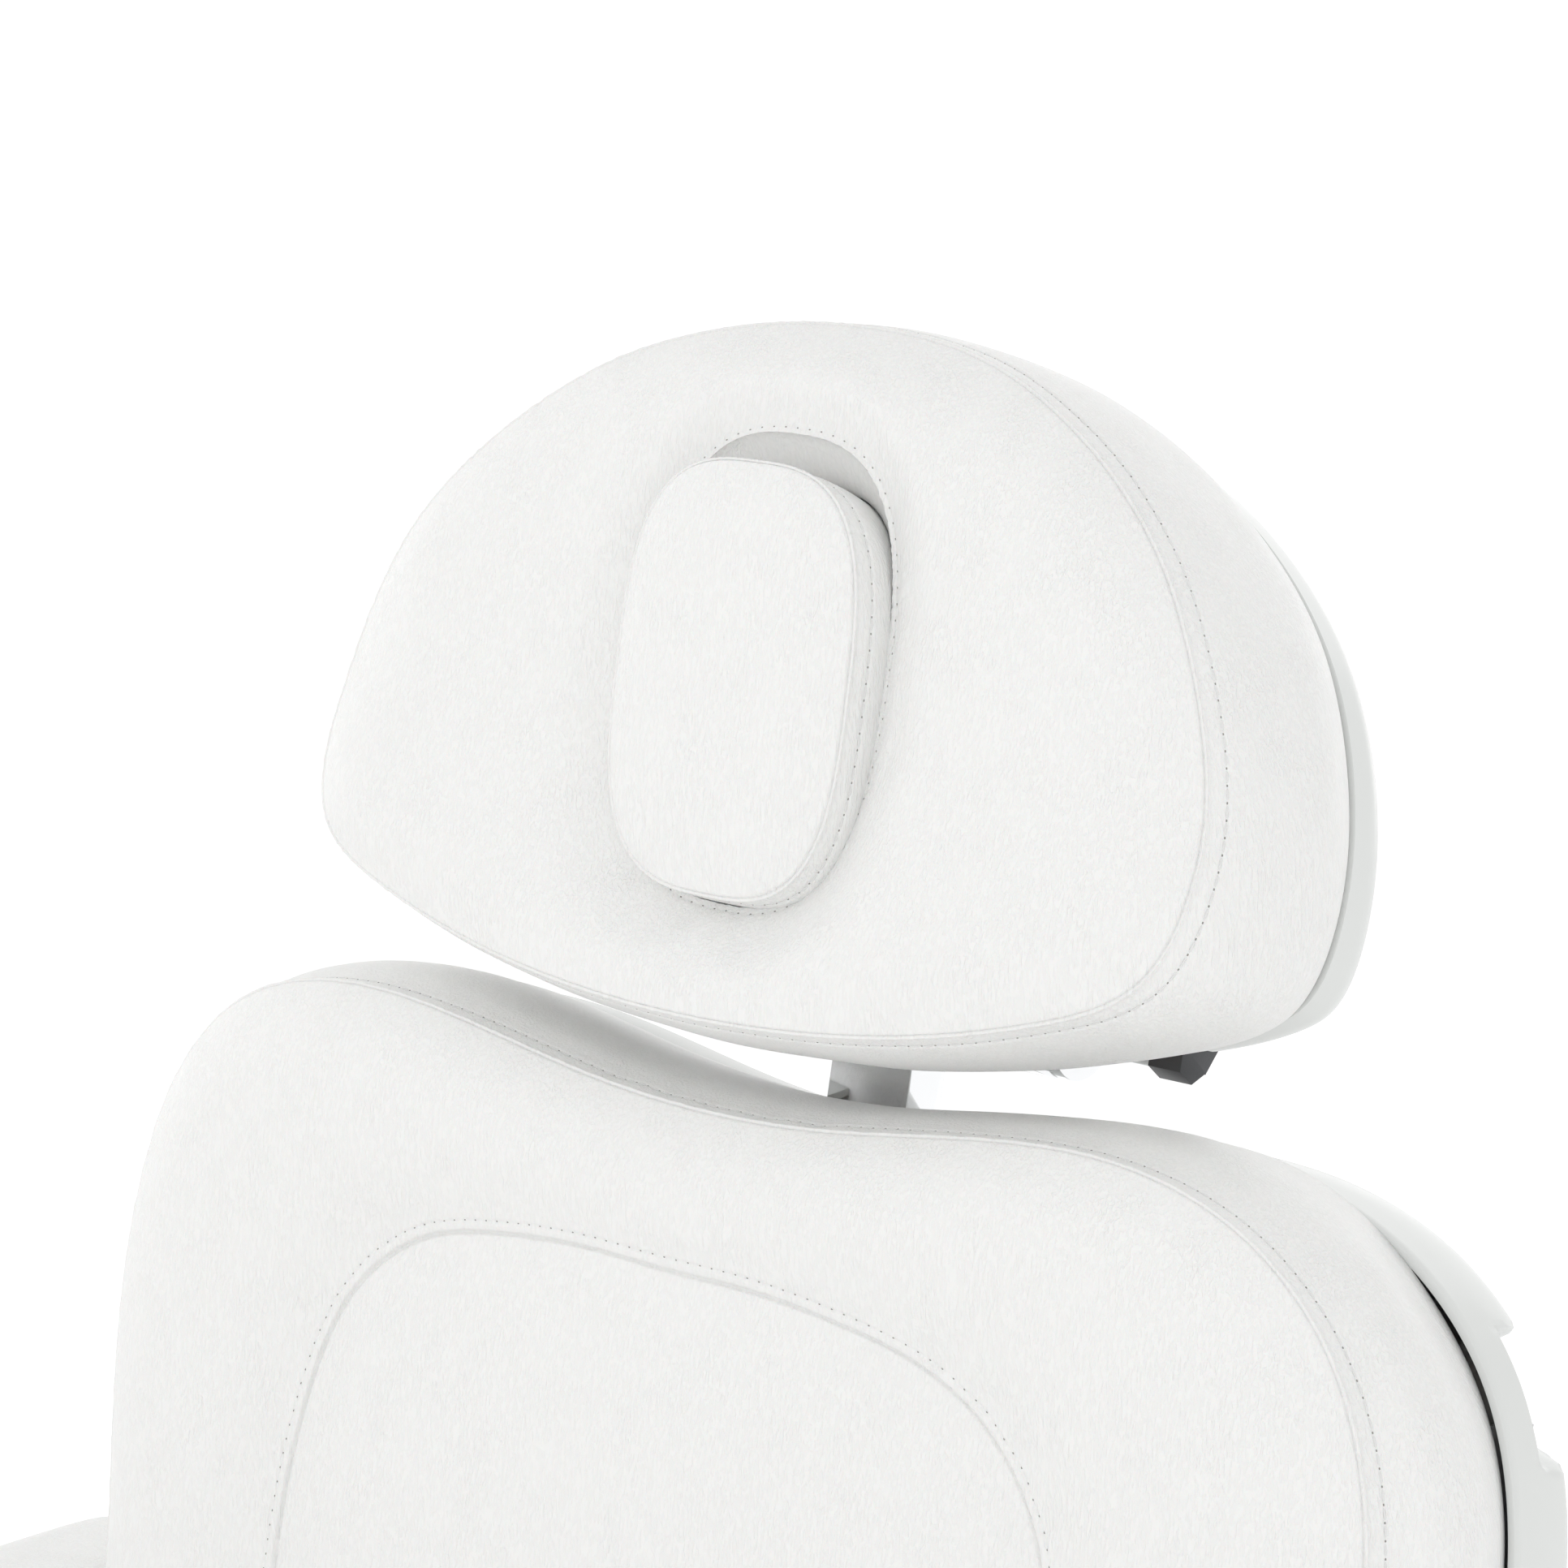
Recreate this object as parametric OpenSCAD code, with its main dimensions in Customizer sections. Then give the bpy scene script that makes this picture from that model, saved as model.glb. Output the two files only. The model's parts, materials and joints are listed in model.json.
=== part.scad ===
// Powered beauty treatment chair: lifting column, reclining backrest, leg rest,
// fold-up armrests and a sliding, tilting headrest with a face hole and its plug.
// The floor is z = 0, the sitter faces -Y, and +X is the sitter's left.

/* [Seat] */
// Height of the seat top with the lift at its lowest
seat_top_h = 600; // [560:5:700]
// Width of the seat cushion
seat_w = 584; // [560:1:588]
// Thickness of the seat cushion
seat_pad_t = 90; // [80:1:96]
// Distance between the front and the rear hinge lines
hinge_span = 520; // [500:5:600]
// Depth of the hinge lines below the seat top
hinge_drop = 60; // [58:1:62]

/* [Backrest] */
// Recline from upright in the photographed pose, in degrees
back_angle = 11.7; // [8:0.1:14]
// Recline travel from there to flat, in degrees
back_travel = 72; // [60:1:74]
// How far each side seam of the backrest lies outside the seat
back_over = 20; // [14:1:28]
// Height of the shoulders above the hinge line
back_top = 590; // [560:1:640]
// Width of the side boxing from the front seam to the board
pad_rim = 74; // [66:1:80]
// How far the sides of a large cushion swell past its seam
pad_bulge = 20; // [10:1:22]
// How far the rolled border stands in front of the seam
pad_crown = 18; // [8:1:22]

/* [Headrest] */
// Width of the headrest between its seams
head_w = 432; // [400:1:460]
// Height of the headrest between its seams
head_h = 262; // [250:1:280]
// Width of the headrest boxing
head_rim = 84; // [76:1:88]
// Lean of the headrest beyond the backrest, in degrees
head_tilt = 12; // [8:0.5:16]
// Width of the face hole at the surface
hole_w = 121; // [118:1:130]
// Height of the face hole at the surface
hole_h = 171; // [166:1:180]
// Width of the face hole plug
plug_w = 115; // [100:1:116]
// Height of the face hole plug
plug_h = 155; // [150:1:164]
// How far the plug stands in front of the face hole
plug_proud = 17; // [8:1:22]
// Width of the chromed headrest bar
bar_w = 40; // [30:1:44]
// Depth of the chromed headrest bar
bar_d = 20; // [16:1:22]
// Travel of the headrest bar
bar_travel = 100; // [60:5:110]

/* [Leg rest] */
// Angle of the leg rest below level in the photographed pose, in degrees
leg_angle = 45; // [30:1:60]
// Travel of the leg rest from level to its lowest, in degrees
leg_travel = 65; // [50:1:66]
// How far each side seam of the leg rest lies outside the seat
leg_over = 19; // [17:1:23]
// Far end of the leg rest, measured from its hinge line
leg_end = 480; // [420:1:490]

/* [Armrests] */
// Length of an armrest pad
arm_len = 420; // [360:5:450]
// Width of an armrest pad
arm_w = 90; // [70:1:100]
// Thickness of an armrest pad
arm_pad_t = 42; // [34:1:50]
// Height of the armrest pivots above the hinge line, along the backrest
arm_pivot_w = 256; // [240:1:300]
// Clear distance from the backrest's side seam to an armrest pad
arm_gap = 33; // [30:1:40]

/* [Lift and base] */
// Travel of the lift
lift_travel = 260; // [200:5:270]
// Width across the outer column
column_w = 150; // [140:1:152]
// Length of the base cover
base_len = 640; // [600:5:700]
// Width of the base cover
base_w = 460; // [420:5:520]
// Height of the base cover
base_h = 120; // [112:1:130]

/* [Hidden] */
$fn = 48;

// Shared sizes
wall = 3;
fit = 0.05;
soft_gap = 0.3;
over = 2;
tiny = 0.000001;
leather = "#f4f2ef";
shell_grey = "#cfd0d1";
steel_grey = "#8d9196";
chrome = "#d5d9dd";
dark_grey = "#3c3f43";
plywood = "#c9a877";
rubber = "#2b2b2b";
back_w = seat_w + 2 * back_over;
leg_w = seat_w + 2 * leg_over;
arm_in_x = back_w / 2 + arm_gap;
hinge_z = seat_top_h - hinge_drop;
seat_mid_y = 68;
back_y = seat_mid_y + hinge_span / 2;
front_y = seat_mid_y - hinge_span / 2;

// Depths of the layers behind a reclining cushion, measured from its hinge line
pad_back = 22;
board_t = 10;
frame_t = 25;
board_back = pad_back + board_t;
frame_back = board_back + frame_t;

// Frame of the backrest: y runs to its back, z up along it
module at_back() {
  translate([0, back_y, hinge_z]) rotate([-back_angle, 0, 0]) children();
}

// Frame of the leg rest: y runs to its underside, z away from the hinge line
module at_leg() {
  translate([0, front_y, hinge_z]) rotate([90 + leg_angle, 0, 0]) mirror([0, 1, 0]) children();
}

// Centre of the face hole in the backrest's frame, and the headrest's own frame
head_y = -57;
hole_rise = 148;
head_z = back_top + hole_rise;
module at_head() {
  at_back() translate([0, head_y, head_z]) rotate([-head_tilt, 0, 0]) children();
}

// A flat outline in the plane of a cushion, with thickness rising towards its front
module on_pad_plane(depth) {
  translate([0, depth, 0]) rotate([90, 0, 0]) children();
}

// A profile in the YZ plane, extruded along X from x0 over a thickness
module across(x0, thickness) {
  translate([x0, 0, 0]) rotate([90, 0, 90]) linear_extrude(thickness) children();
}

module left_and_right() {
  children();
  mirror([1, 0, 0]) children();
}

// A round bar along X
module pin_x(x0, x1, d) {
  translate([x0, 0, 0]) rotate([0, 90, 0]) cylinder(h = x1 - x0, d = d);
}

// A hollow square section from corner to corner, open at both ends of the given axis
module tube_box(lo, hi, wall_t, axis) {
  inner_lo = [for (k = [0:2]) k == axis ? lo[k] - over : lo[k] + wall_t];
  inner_hi = [for (k = [0:2]) k == axis ? hi[k] + over : hi[k] - wall_t];
  difference() {
    translate(lo) cube(hi - lo);
    translate(inner_lo) cube(inner_hi - inner_lo);
  }
}

module block(lo, hi) {
  translate(lo) cube(hi - lo);
}

// Point lists. An outline runs anticlockwise and starts at its lowest middle point.
function mirrored(half) =
  concat(half, [for (i = [len(half) - 2:-1:1]) [-half[i].x, half[i].y]]);
function spline_point(a, b, c, d, t) =
  (2 * b + (c - a) * t + (2 * a - 5 * b + 4 * c - d) * t * t + (3 * b - a - 3 * c + d) * t * t * t) / 2;
function closed_spline(p, n) = let (m = len(p)) [for (k = [0:n - 1])
  let (t = k * m / n, i = floor(t))
  spline_point(p[(i + m - 1) % m], p[i % m], p[(i + 1) % m], p[(i + 2) % m], t - i)];
function unit(v) = v / max(norm(v), tiny);
function outward(p, i) = let (n = len(p), t = unit(p[(i + 1) % n] - p[(i + n - 1) % n])) [t.y, -t.x];
function grown(p, d) = [for (i = [0:len(p) - 1]) p[i] + d * outward(p, i)];
// As grown, with the whole swell at the sides and smaller shares at the corners, above and below
function swell_at(n, up, down) = pow(n.x, 4) + 2 * pow(n.x * n.y, 2) * corner_share
  + pow(n.y, 4) * (n.y > 0 ? up : down);
function swelled(p, d, up, down) = [for (i = [0:len(p) - 1])
  let (n = outward(p, i)) p[i] + n * d * swell_at(n, up, down)];
function mixed(a, b, k) = [for (i = [0:len(a) - 1]) a[i] * (1 - k) + b[i] * k];
function middle(p) = [for (k = [0:len(p[0]) - 1]) [for (q = p) q[k]] * [for (q = p) 1] / len(p)];
function shrunk(p, k) = let (c = middle(p)) [for (q = p) c + (q - c) * k];
function raised(p, z) = [for (q = p) [q.x, q.y, z]];
function from_shares(shares, half_w, y0, length) =
  mirrored([for (s = shares) [s.x * half_w, y0 + s.y * length]]);
function rounded_box(w, l, r, n) = [for (c = [0:3]) for (k = [0:n])
  let (a = -90 + 90 * c + 90 * k / n, sx = (c == 0 || c == 1) ? 1 : -1, sy = (c == 1 || c == 2) ? 1 : -1)
  [sx * (w / 2 - r) + r * cos(a), sy * (l / 2 - r) + r * sin(a)]];
function oval_reach(a, b, e, u) =
  1 / pow(pow(abs(u.x) / a, e) + pow(abs(u.y) / b, e), 1 / e);
function oval_towards(p, a, b, e, cy) = [for (q = p)
  let (u = unit(q - [0, cy])) [0, cy] + u * oval_reach(a, b, e, u)];

// A closed skin through rings of points, with a fan over its first and last ring
module ring_stack(rings) {
  n = len(rings[0]);
  m = len(rings);
  points = concat([for (r = rings) for (p = r) p], [middle(rings[0]), middle(rings[m - 1])]);
  sides = [for (i = [0:m - 2]) for (j = [0:n - 1])
    let (a = i * n + j, b = i * n + (j + 1) % n) each [[a, a + n, b + n], [a, b + n, b]]];
  caps = [for (j = [0:n - 1]) let (k = (j + 1) % n)
    each [[n * m, j, k], [n * m + 1, (m - 1) * n + k, (m - 1) * n + j]]];
  polyhedron(points, concat(sides, caps), convexity = 6);
}

// A ring-shaped skin, whose last ring joins its first
module ring_loop(rings) {
  n = len(rings[0]);
  m = len(rings);
  faces = [for (i = [0:m - 1]) for (j = [0:n - 1])
    let (a = i * n + j, b = i * n + (j + 1) % n, c = (i + 1) % m * n + j, d = (i + 1) % m * n + (j + 1) % n)
    each [[a, c, d], [a, d, b]]];
  polyhedron([for (r = rings) for (p = r) p], faces, convexity = 8);
}

// Large cushions: rows of [height share of the boxing, swell share of the bulge]
rim_shares = [[0, 0.15], [0.12, 0.4], [0.35, 0.88], [0.55, 1], [0.75, 0.8], [0.94, 0.25], [1, 0]];
// Rolled border: rows of [share of the way to the inner seam, share of the crown]
roll_shares = [[0.07, 0.4], [0.25, 0.85], [0.5, 1], [0.8, 0.85], [1, 0.5]];
// Inner panel: rows of [size share, share of the crown]
panel_shares = [[0.93, 0.65], [0.6, 0.8]];
edge_up_share = 0.5;
edge_down_share = 0.5;
corner_share = 0.2;
module panelled_cushion(outline, panel) {
  rim = [for (s = rim_shares)
    raised(swelled(outline, pad_bulge * s.y, edge_up_share, edge_down_share), pad_rim * s.x)];
  roll = [for (s = roll_shares) raised(mixed(outline, panel, s.x), pad_rim + pad_crown * s.y)];
  inner = [for (s = panel_shares) raised(shrunk(panel, s.x), pad_rim + pad_crown * s.y)];
  ring_stack(concat(rim, roll, inner));
}

// Moulded tray behind a cushion: rows of [depth share, swell share], outside then inside
shell_depth = 46;
shell_round = 26;
tray_shares = [[1, 0.35], [0.93, 0.62], [0.72, 0.93], [0.3, 1], [0, 1]];
module tray(outline, depth, swell) {
  edge = swelled(outline, swell, edge_up_share, edge_down_share);
  outer = [for (s = tray_shares) raised(grown(edge, -shell_round * (1 - s.y)), -depth * s.x)];
  inner = [for (i = [len(tray_shares) - 1:-1:0]) let (s = tray_shares[i])
    raised(grown(edge, -wall - shell_round * (1 - s.y)), -(depth - wall) * s.x)];
  ring_stack(concat(outer, inner));
}

// Hinge plates, and the slotted crank that an actuator pin pushes
plate_t = 6;
hinge_boss = 24;
hinge_pin_d = 12;
plate_gap = 4;
plate_play = 2;
seat_plate_x = seat_w / 2 + plate_gap;
back_plate_x = seat_plate_x + plate_t + plate_play;
tube_w = 28;
pin_len = back_plate_x + plate_t - seat_plate_x;
foot_z = 96;
cross_h = 28;
plate_top = 200;
shell_cut_top = 106;
crank_x = 130;
crank_t = 8;
crank_in = 64;
crank_band = 30;
crank_drop = 95;
push_pin_d = 12;
slot_gap = 3;
slot_w = push_pin_d + 2 * slot_gap;
slot_rim = 6;
slot_from = 90;
slot_to = 122;
web_from_angle = 5;
web_to_angle = 40;
tab_angle = 38;
head_half = slot_w / 2 + slot_rim;
crank_tab = 25;

module bore(d) {
  circle(d = d);
}

// Side plate of a reclining frame, in its YZ plane
module reclining_plate() {
  difference() {
    union() {
      circle(r = hinge_boss);
      polygon([[-hinge_boss, 0], [0, -hinge_boss], [frame_back, hinge_boss], [frame_back, plate_top],
        [board_back, plate_top], [board_back, crank_in]]);
    }
    bore(hinge_pin_d + 2 * fit);
  }
}

// Crank in the YZ plane; slot_angle turns its slot up from the Y axis
module crank(slot_angle) {
  wedge = 2 * (crank_in + crank_band);
  tab_low = crank_in * sin(tab_angle);
  difference() {
    union() {
      intersection() {
        difference() {
          circle(r = crank_in + crank_band);
          circle(r = crank_in);
        }
        polygon([[0, 0], wedge * [cos(slot_angle - web_from_angle), sin(slot_angle - web_from_angle)],
          [wedge, 0], wedge * [cos(web_to_angle), sin(web_to_angle)]]);
      }
      translate([frame_back, tab_low]) square([crank_tab, foot_z + cross_h - tab_low]);
      rotate(slot_angle) translate([crank_in, -head_half])
        square([slot_to - crank_in, 2 * head_half]);
      rotate(slot_angle) translate([slot_to, 0]) circle(r = head_half);
    }
    rotate(slot_angle) translate([slot_from, -slot_w / 2]) square([slot_to - slot_from, slot_w]);
    rotate(slot_angle) translate([slot_from, 0]) circle(d = slot_w);
    rotate(slot_angle) translate([slot_to, 0]) circle(d = slot_w);
  }
}

// Screws that hold a board to its frame
bolt_d = 6;
bolt_head_d = 12;
bolt_head_h = 4;
module bolts_at(places, from, to) {
  for (p = places) translate([p.x, to, p.y]) rotate([90, 0, 0]) {
    cylinder(h = to - from, d = bolt_d);
    translate([0, 0, -bolt_head_h]) cylinder(h = bolt_head_h, d = bolt_head_d);
  }
}
module bolt_bores(places, from, to) {
  for (p = places) translate([p.x, to + over, p.y]) rotate([90, 0, 0])
    cylinder(h = to - from + 2 * over, d = bolt_d + 2 * fit);
}
function four_places(x, z0, z1) = [[x, z0], [-x, z0], [x, z1], [-x, z1]];

// A reclining frame: side tubes, lower cross tube, hinge plates and crank
side_x = back_plate_x - tube_w;
module reclining_frame(top, slot_angle, crank_side) {
  left_and_right() {
    tube_box([side_x, board_back, foot_z], [back_plate_x, frame_back, top], wall, 2);
    across(back_plate_x, plate_t) reclining_plate();
  }
  tube_box([-side_x, board_back, foot_z], [side_x, frame_back, foot_z + cross_h], wall, 0);
  across(crank_side * crank_x - crank_t / 2, crank_t) crank(slot_angle);
}

// Screw bosses inside a shell, which stand on the frame's side tubes
shell_boss_d = 16;
shell_boss_step = 42;
module shell_bosses(z0, z1) {
  left_and_right() for (z = [z0, z1]) translate([(side_x + back_plate_x) / 2, frame_back, z])
    rotate([-90, 0, 0]) cylinder(h = pad_back + shell_depth - wall / 2 - frame_back, d = shell_boss_d);
}

// Backrest
back_foot = 86;
back_outline_shares = [[0, 0], [0.5, 0], [0.88, 0.002], [0.965, 0.035], [0.985, 0.12], [0.98, 0.3],
  [0.978, 0.463], [1, 0.618], [0.998, 0.797], [0.937, 0.9], [0.827, 0.966], [0.68, 0.998],
  [0.468, 0.999], [0.197, 0.976], [0, 0.969]];
back_panel_shares = [[0, 0.07], [0.34, 0.07], [0.55, 0.075], [0.61, 0.11], [0.625, 0.19], [0.645, 0.35],
  [0.655, 0.45], [0.65, 0.58], [0.622, 0.69], [0.573, 0.765], [0.505, 0.81], [0.42, 0.838],
  [0.3, 0.853], [0.13, 0.861], [0, 0.86]];
back_n = 72;
function back_line(shares) =
  closed_spline(from_shares(shares, back_w / 2, back_foot, back_top - back_foot), back_n);
board_in = 8;
shell_swell = 14;
back_frame_top = 520;
guide_wall = 3;
guide_foot = 380;
guide_top = 572;
upper_cross_z = 440;
knob_z = 500;
knob_hole_d = 26;
arm_pin_d = 16;
arm_pin_y = (board_back + frame_back) / 2;
bar_front = board_back + guide_wall + fit;
bar_back = bar_front + bar_d;
guide_half = bar_w / 2 + fit + guide_wall;
back_bolts = four_places((side_x + back_plate_x) / 2, foot_z + 2 * cross_h, back_frame_top - tube_w);
crank_window = 36;
crank_window_top = 150;
grip_z0 = back_top - 70;
grip_z1 = back_top - 32;
grip_depth = 24;
grip_in = 30;

module backrest_frame() {
  color(steel_grey) at_back() difference() {
    union() {
      reclining_frame(back_frame_top, back_angle + back_travel / 2 - 90, 1);
      left_and_right() tube_box([guide_half, board_back, upper_cross_z],
        [side_x, frame_back, upper_cross_z + cross_h], wall, 0);
    }
    bolt_bores(back_bolts, pad_back, frame_back);
    left_and_right() translate([0, arm_pin_y, arm_pivot_w])
      pin_x(side_x - over, back_plate_x + over, arm_pin_d + 2 * fit);
  }
}

module backrest_board() {
  color(plywood) at_back() difference() {
    on_pad_plane(board_back) linear_extrude(board_t)
      polygon(grown(back_line(back_outline_shares), -board_in));
    bolt_bores(back_bolts, pad_back, frame_back);
  }
}

module backrest_cushion() {
  color(leather) at_back() on_pad_plane(pad_back - soft_gap)
    panelled_cushion(back_line(back_outline_shares), back_line(back_panel_shares));
}

module backrest_shell() {
  color(shell_grey) at_back() {
    shell_bosses(foot_z + 2 * cross_h + shell_boss_step, back_frame_top - tube_w - shell_boss_step);
    difference() {
      on_pad_plane(pad_back) tray(back_line(back_outline_shares), shell_depth, shell_swell);
      left_and_right() block([crank_x - crank_window, 0, 0],
        [crank_x + crank_window, shell_depth * 2 + pad_back, crank_window_top]);
      left_and_right() block([back_w / 2 - grip_in, pad_back + shell_depth - grip_depth, grip_z0],
        [back_w, shell_depth * 2 + pad_back, grip_z1]);
      block([-guide_half - over, pad_back - over, guide_top - cross_h],
        [guide_half + over, bar_back + guide_wall + over, back_top + shell_depth]);
      block([-back_w, pad_back - over, 0], [back_w, frame_back + over, shell_cut_top]);
      left_and_right() block([back_plate_x - over, pad_back - over, 0],
        [back_w, frame_back + over, foot_z + 2 * cross_h]);
      translate([0, frame_back, knob_z]) rotate([-90, 0, 0])
        cylinder(h = shell_depth, d = knob_hole_d);
      left_and_right() translate([0, arm_pin_y, arm_pivot_w])
        pin_x(back_plate_x, back_w, arm_pin_d + 2 * over);
    }
  }
}

module backrest_bolts() {
  color(steel_grey) at_back() bolts_at(back_bolts, pad_back, frame_back);
}

// Guide tube of the headrest bar, with the boss of its clamping knob
boss_d = 20;
boss_h = 8;
knob_bolt_d = 8;
module bar_guide() {
  color(steel_grey) at_back() difference() {
    union() {
      block([-guide_half, board_back, guide_foot],
        [guide_half, bar_back + fit + guide_wall, guide_top]);
      translate([0, bar_back + fit, knob_z]) rotate([-90, 0, 0])
        cylinder(h = guide_wall + boss_h, d = boss_d);
    }
    block([-bar_w / 2 - fit, bar_front - fit, guide_foot - over],
      [bar_w / 2 + fit, bar_back + fit, guide_top + over]);
    translate([0, bar_back, knob_z]) rotate([-90, 0, 0])
      cylinder(h = guide_wall + boss_h + over, d = knob_bolt_d + 2 * fit);
  }
}

knob_d = 38;
knob_h = 18;
knob_lobes = 6;
knob_lobe_d = 12;
knob_stand = 14;
module height_knob() {
  color(dark_grey) at_back() translate([0, bar_back + fit, knob_z]) rotate([-90, 0, 0]) {
    cylinder(h = guide_wall + boss_h + knob_stand, d = knob_bolt_d);
    translate([0, 0, guide_wall + boss_h + knob_stand]) {
      cylinder(h = knob_h, d = knob_d);
      for (k = [0:knob_lobes - 1]) rotate(360 * k / knob_lobes) translate([knob_d / 2, 0, 0])
        cylinder(h = knob_h, d = knob_lobe_d);
    }
  }
}

// Armrest pivots, pressed into the side tubes of the backrest
arm_hub_d = 25;
arm_tube_w = 40;
arm_tube_h = 25;
arm_board_t = 10;
arm_wall = 2;
arm_in = arm_in_x + (arm_w - arm_tube_w) / 2;
hub_gap = 3;
hub_x = arm_in_x - hub_gap;
arm_pin_end = arm_in + arm_tube_w;
// How far the pad reaches behind its pivot
arm_rear = 50;
module at_arm() {
  at_back() translate([0, arm_pin_y, arm_pivot_w]) rotate([back_angle, 0, 0]) children();
}

module armrest_pins() {
  color(steel_grey) left_and_right() at_arm() pin_x(side_x, arm_pin_end + wall, arm_pin_d);
}

module arm_left() {
  color(steel_grey) at_arm() difference() {
    union() {
      pin_x(hub_x, arm_pin_end, arm_hub_d);
      tube_box([arm_in, arm_rear - arm_len + arm_w / 2, -arm_tube_h / 2],
        [arm_in + arm_tube_w, arm_rear / 2, arm_tube_h / 2], arm_wall, 1);
    }
    pin_x(hub_x - over, arm_pin_end + over, arm_pin_d + 2 * fit);
  }
}

arm_board_in = 6;
arm_mid_x = arm_in_x + arm_w / 2;
module arm_board_left() {
  color(plywood) at_arm() translate([arm_mid_x, arm_rear - arm_len / 2, arm_tube_h / 2])
    linear_extrude(arm_board_t)
      polygon(rounded_box(arm_w - 2 * arm_board_in, arm_len - 2 * arm_board_in, arm_w / 3, 6));
}

// Rows of [height share, inset share of the edge roll]
arm_pad_shares = [[0, 0.1], [0.12, 0], [0.55, 0], [0.8, 0.08], [0.93, 0.3], [1, 0.75]];
arm_corner_share = 0.42;
module arm_pad_left() {
  roll = arm_w / 3;
  function ring(inset) =
    rounded_box(arm_w - 2 * inset, arm_len - 2 * inset, arm_w * arm_corner_share - inset, 7);
  color(leather) at_arm()
    translate([arm_mid_x, arm_rear - arm_len / 2, arm_tube_h / 2 + arm_board_t + soft_gap])
      ring_stack([for (s = arm_pad_shares) raised(ring(roll * s.y), arm_pad_t * s.x)]);
}

module arm_right() {
  mirror([1, 0, 0]) arm_left();
}

module arm_board_right() {
  mirror([1, 0, 0]) arm_board_left();
}

module arm_pad_right() {
  mirror([1, 0, 0]) arm_pad_left();
}

// Headrest bar and tilt hinge
hinge_v = (bar_front + bar_back) / 2;
tilt_z = back_top + 30;
tilt_pin_d = 12;
knuckle_d = 28;
knuckle_half = 22;
bar_hold = 72;
bar_foot = guide_top - bar_travel - bar_hold;
cap_t = 4;
module at_tilt() {
  at_back() translate([0, hinge_v, tilt_z]) children();
}

module headrest_bar() {
  color(chrome) difference() {
    union() {
      at_back() tube_box([-bar_w / 2, bar_front, bar_foot],
        [bar_w / 2, bar_back, tilt_z - knuckle_d / 4], wall, 2);
      at_tilt() pin_x(-knuckle_half, knuckle_half, knuckle_d);
    }
    at_tilt() pin_x(-knuckle_half - over, knuckle_half + over, tilt_pin_d + 2 * fit);
  }
}

module bar_end_cap() {
  color(dark_grey) at_back() {
    block([-bar_w / 2, bar_front, bar_foot - cap_t], [bar_w / 2, bar_back, bar_foot]);
    block([-bar_w / 2 + wall + fit, bar_front + wall + fit, bar_foot],
      [bar_w / 2 - wall - fit, bar_back - wall - fit, bar_foot + 2 * cap_t]);
  }
}

clamp_x0 = 54;
clamp_x1 = 92;
lever_x0 = 130;
lever_x1 = 145;
lever_cap = 2;
clamp_d = 34;
ear_t = 6;
ear_r = 14;
pin_end_out = 4;
module headrest_pin() {
  color(chrome) at_tilt()
    pin_x(-knuckle_half - ear_t - pin_end_out, lever_x1 - lever_cap - fit, tilt_pin_d);
}

// Headrest panel. Depth runs back from the seam plane.
head_n = 64;
head_outline_shares = [[0, -0.495], [0.38, -0.475], [0.774, -0.402], [0.953, -0.32], [1, -0.15],
  [0.955, 0.02], [0.853, 0.178], [0.705, 0.305], [0.517, 0.407], [0.27, 0.483], [0, 0.506]];
head_line = closed_spline(from_shares(head_outline_shares, head_w / 2, 0, head_h), head_n);
plug_foot_gap = 0.5;
plug_low = (hole_h - plug_h) / 2 - plug_foot_gap;
plug_power = 2.75;
plug_lean_share = 0.24;
hole_power = 2.75;
hole_lean_share = 0.195;
head_bulge = 17;
head_crown = 12;
hole_edge = oval_towards(head_line, hole_w / 2, hole_h / 2, hole_power, 0);
function plug_line(extra) =
  oval_towards(head_line, plug_w / 2 + extra, plug_h / 2 + extra, plug_power, -plug_low);
// Rows of [height share of the boxing, swell share of the bulge, share of the tuck of its lower edge]
head_rim_shares = [[0, 0.2, 1], [0.08, 0.5, 0.95], [0.4, 1, 0.45], [0.7, 0.8, 0.1], [0.94, 0.25, 0],
  [1, 0, 0]];
head_up_share = 0.5;
head_tuck = 10;
// As swelled, with the lower edge tucked in by a length of its own
function tucked(p, d, tuck) = [for (i = [0:len(p) - 1])
  let (n = outward(p, i)) p[i] + [d * n.x, n.y * (n.y > 0 ? d * head_up_share : -tuck)]];
// Rows of [share of the way to the hole, share of the crown]
head_roll_shares = [[0.08, 0.45], [0.3, 0.95], [0.6, 1], [0.85, 0.7], [1, 0]];
// Rows of [depth share below the hole edge, share of the way in to the plug]
hole_wall_shares = [[0.1, 0.7], [0.25, 1], [1, 1]];
function leaned(p, base, lean) = [for (q = p) [q.x, q.y, base + lean * q.y]];
module headrest_cushion() {
  well = plug_line(soft_gap);
  rim = [for (s = head_rim_shares)
    raised(tucked(head_line, head_bulge * s.y, head_tuck * s.z), head_rim * s.x)];
  roll = [for (s = head_roll_shares)
    leaned(mixed(head_line, hole_edge, s.x), head_rim + head_crown * s.y, s.x * hole_lean_share)];
  well_rings = [for (s = hole_wall_shares)
    leaned(mixed(hole_edge, well, s.y), head_rim * (1 - s.x), (1 - s.x) * hole_lean_share)];
  color(leather) at_head() on_pad_plane(head_rim - soft_gap) ring_loop(concat(rim, roll, well_rings));
}

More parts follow.
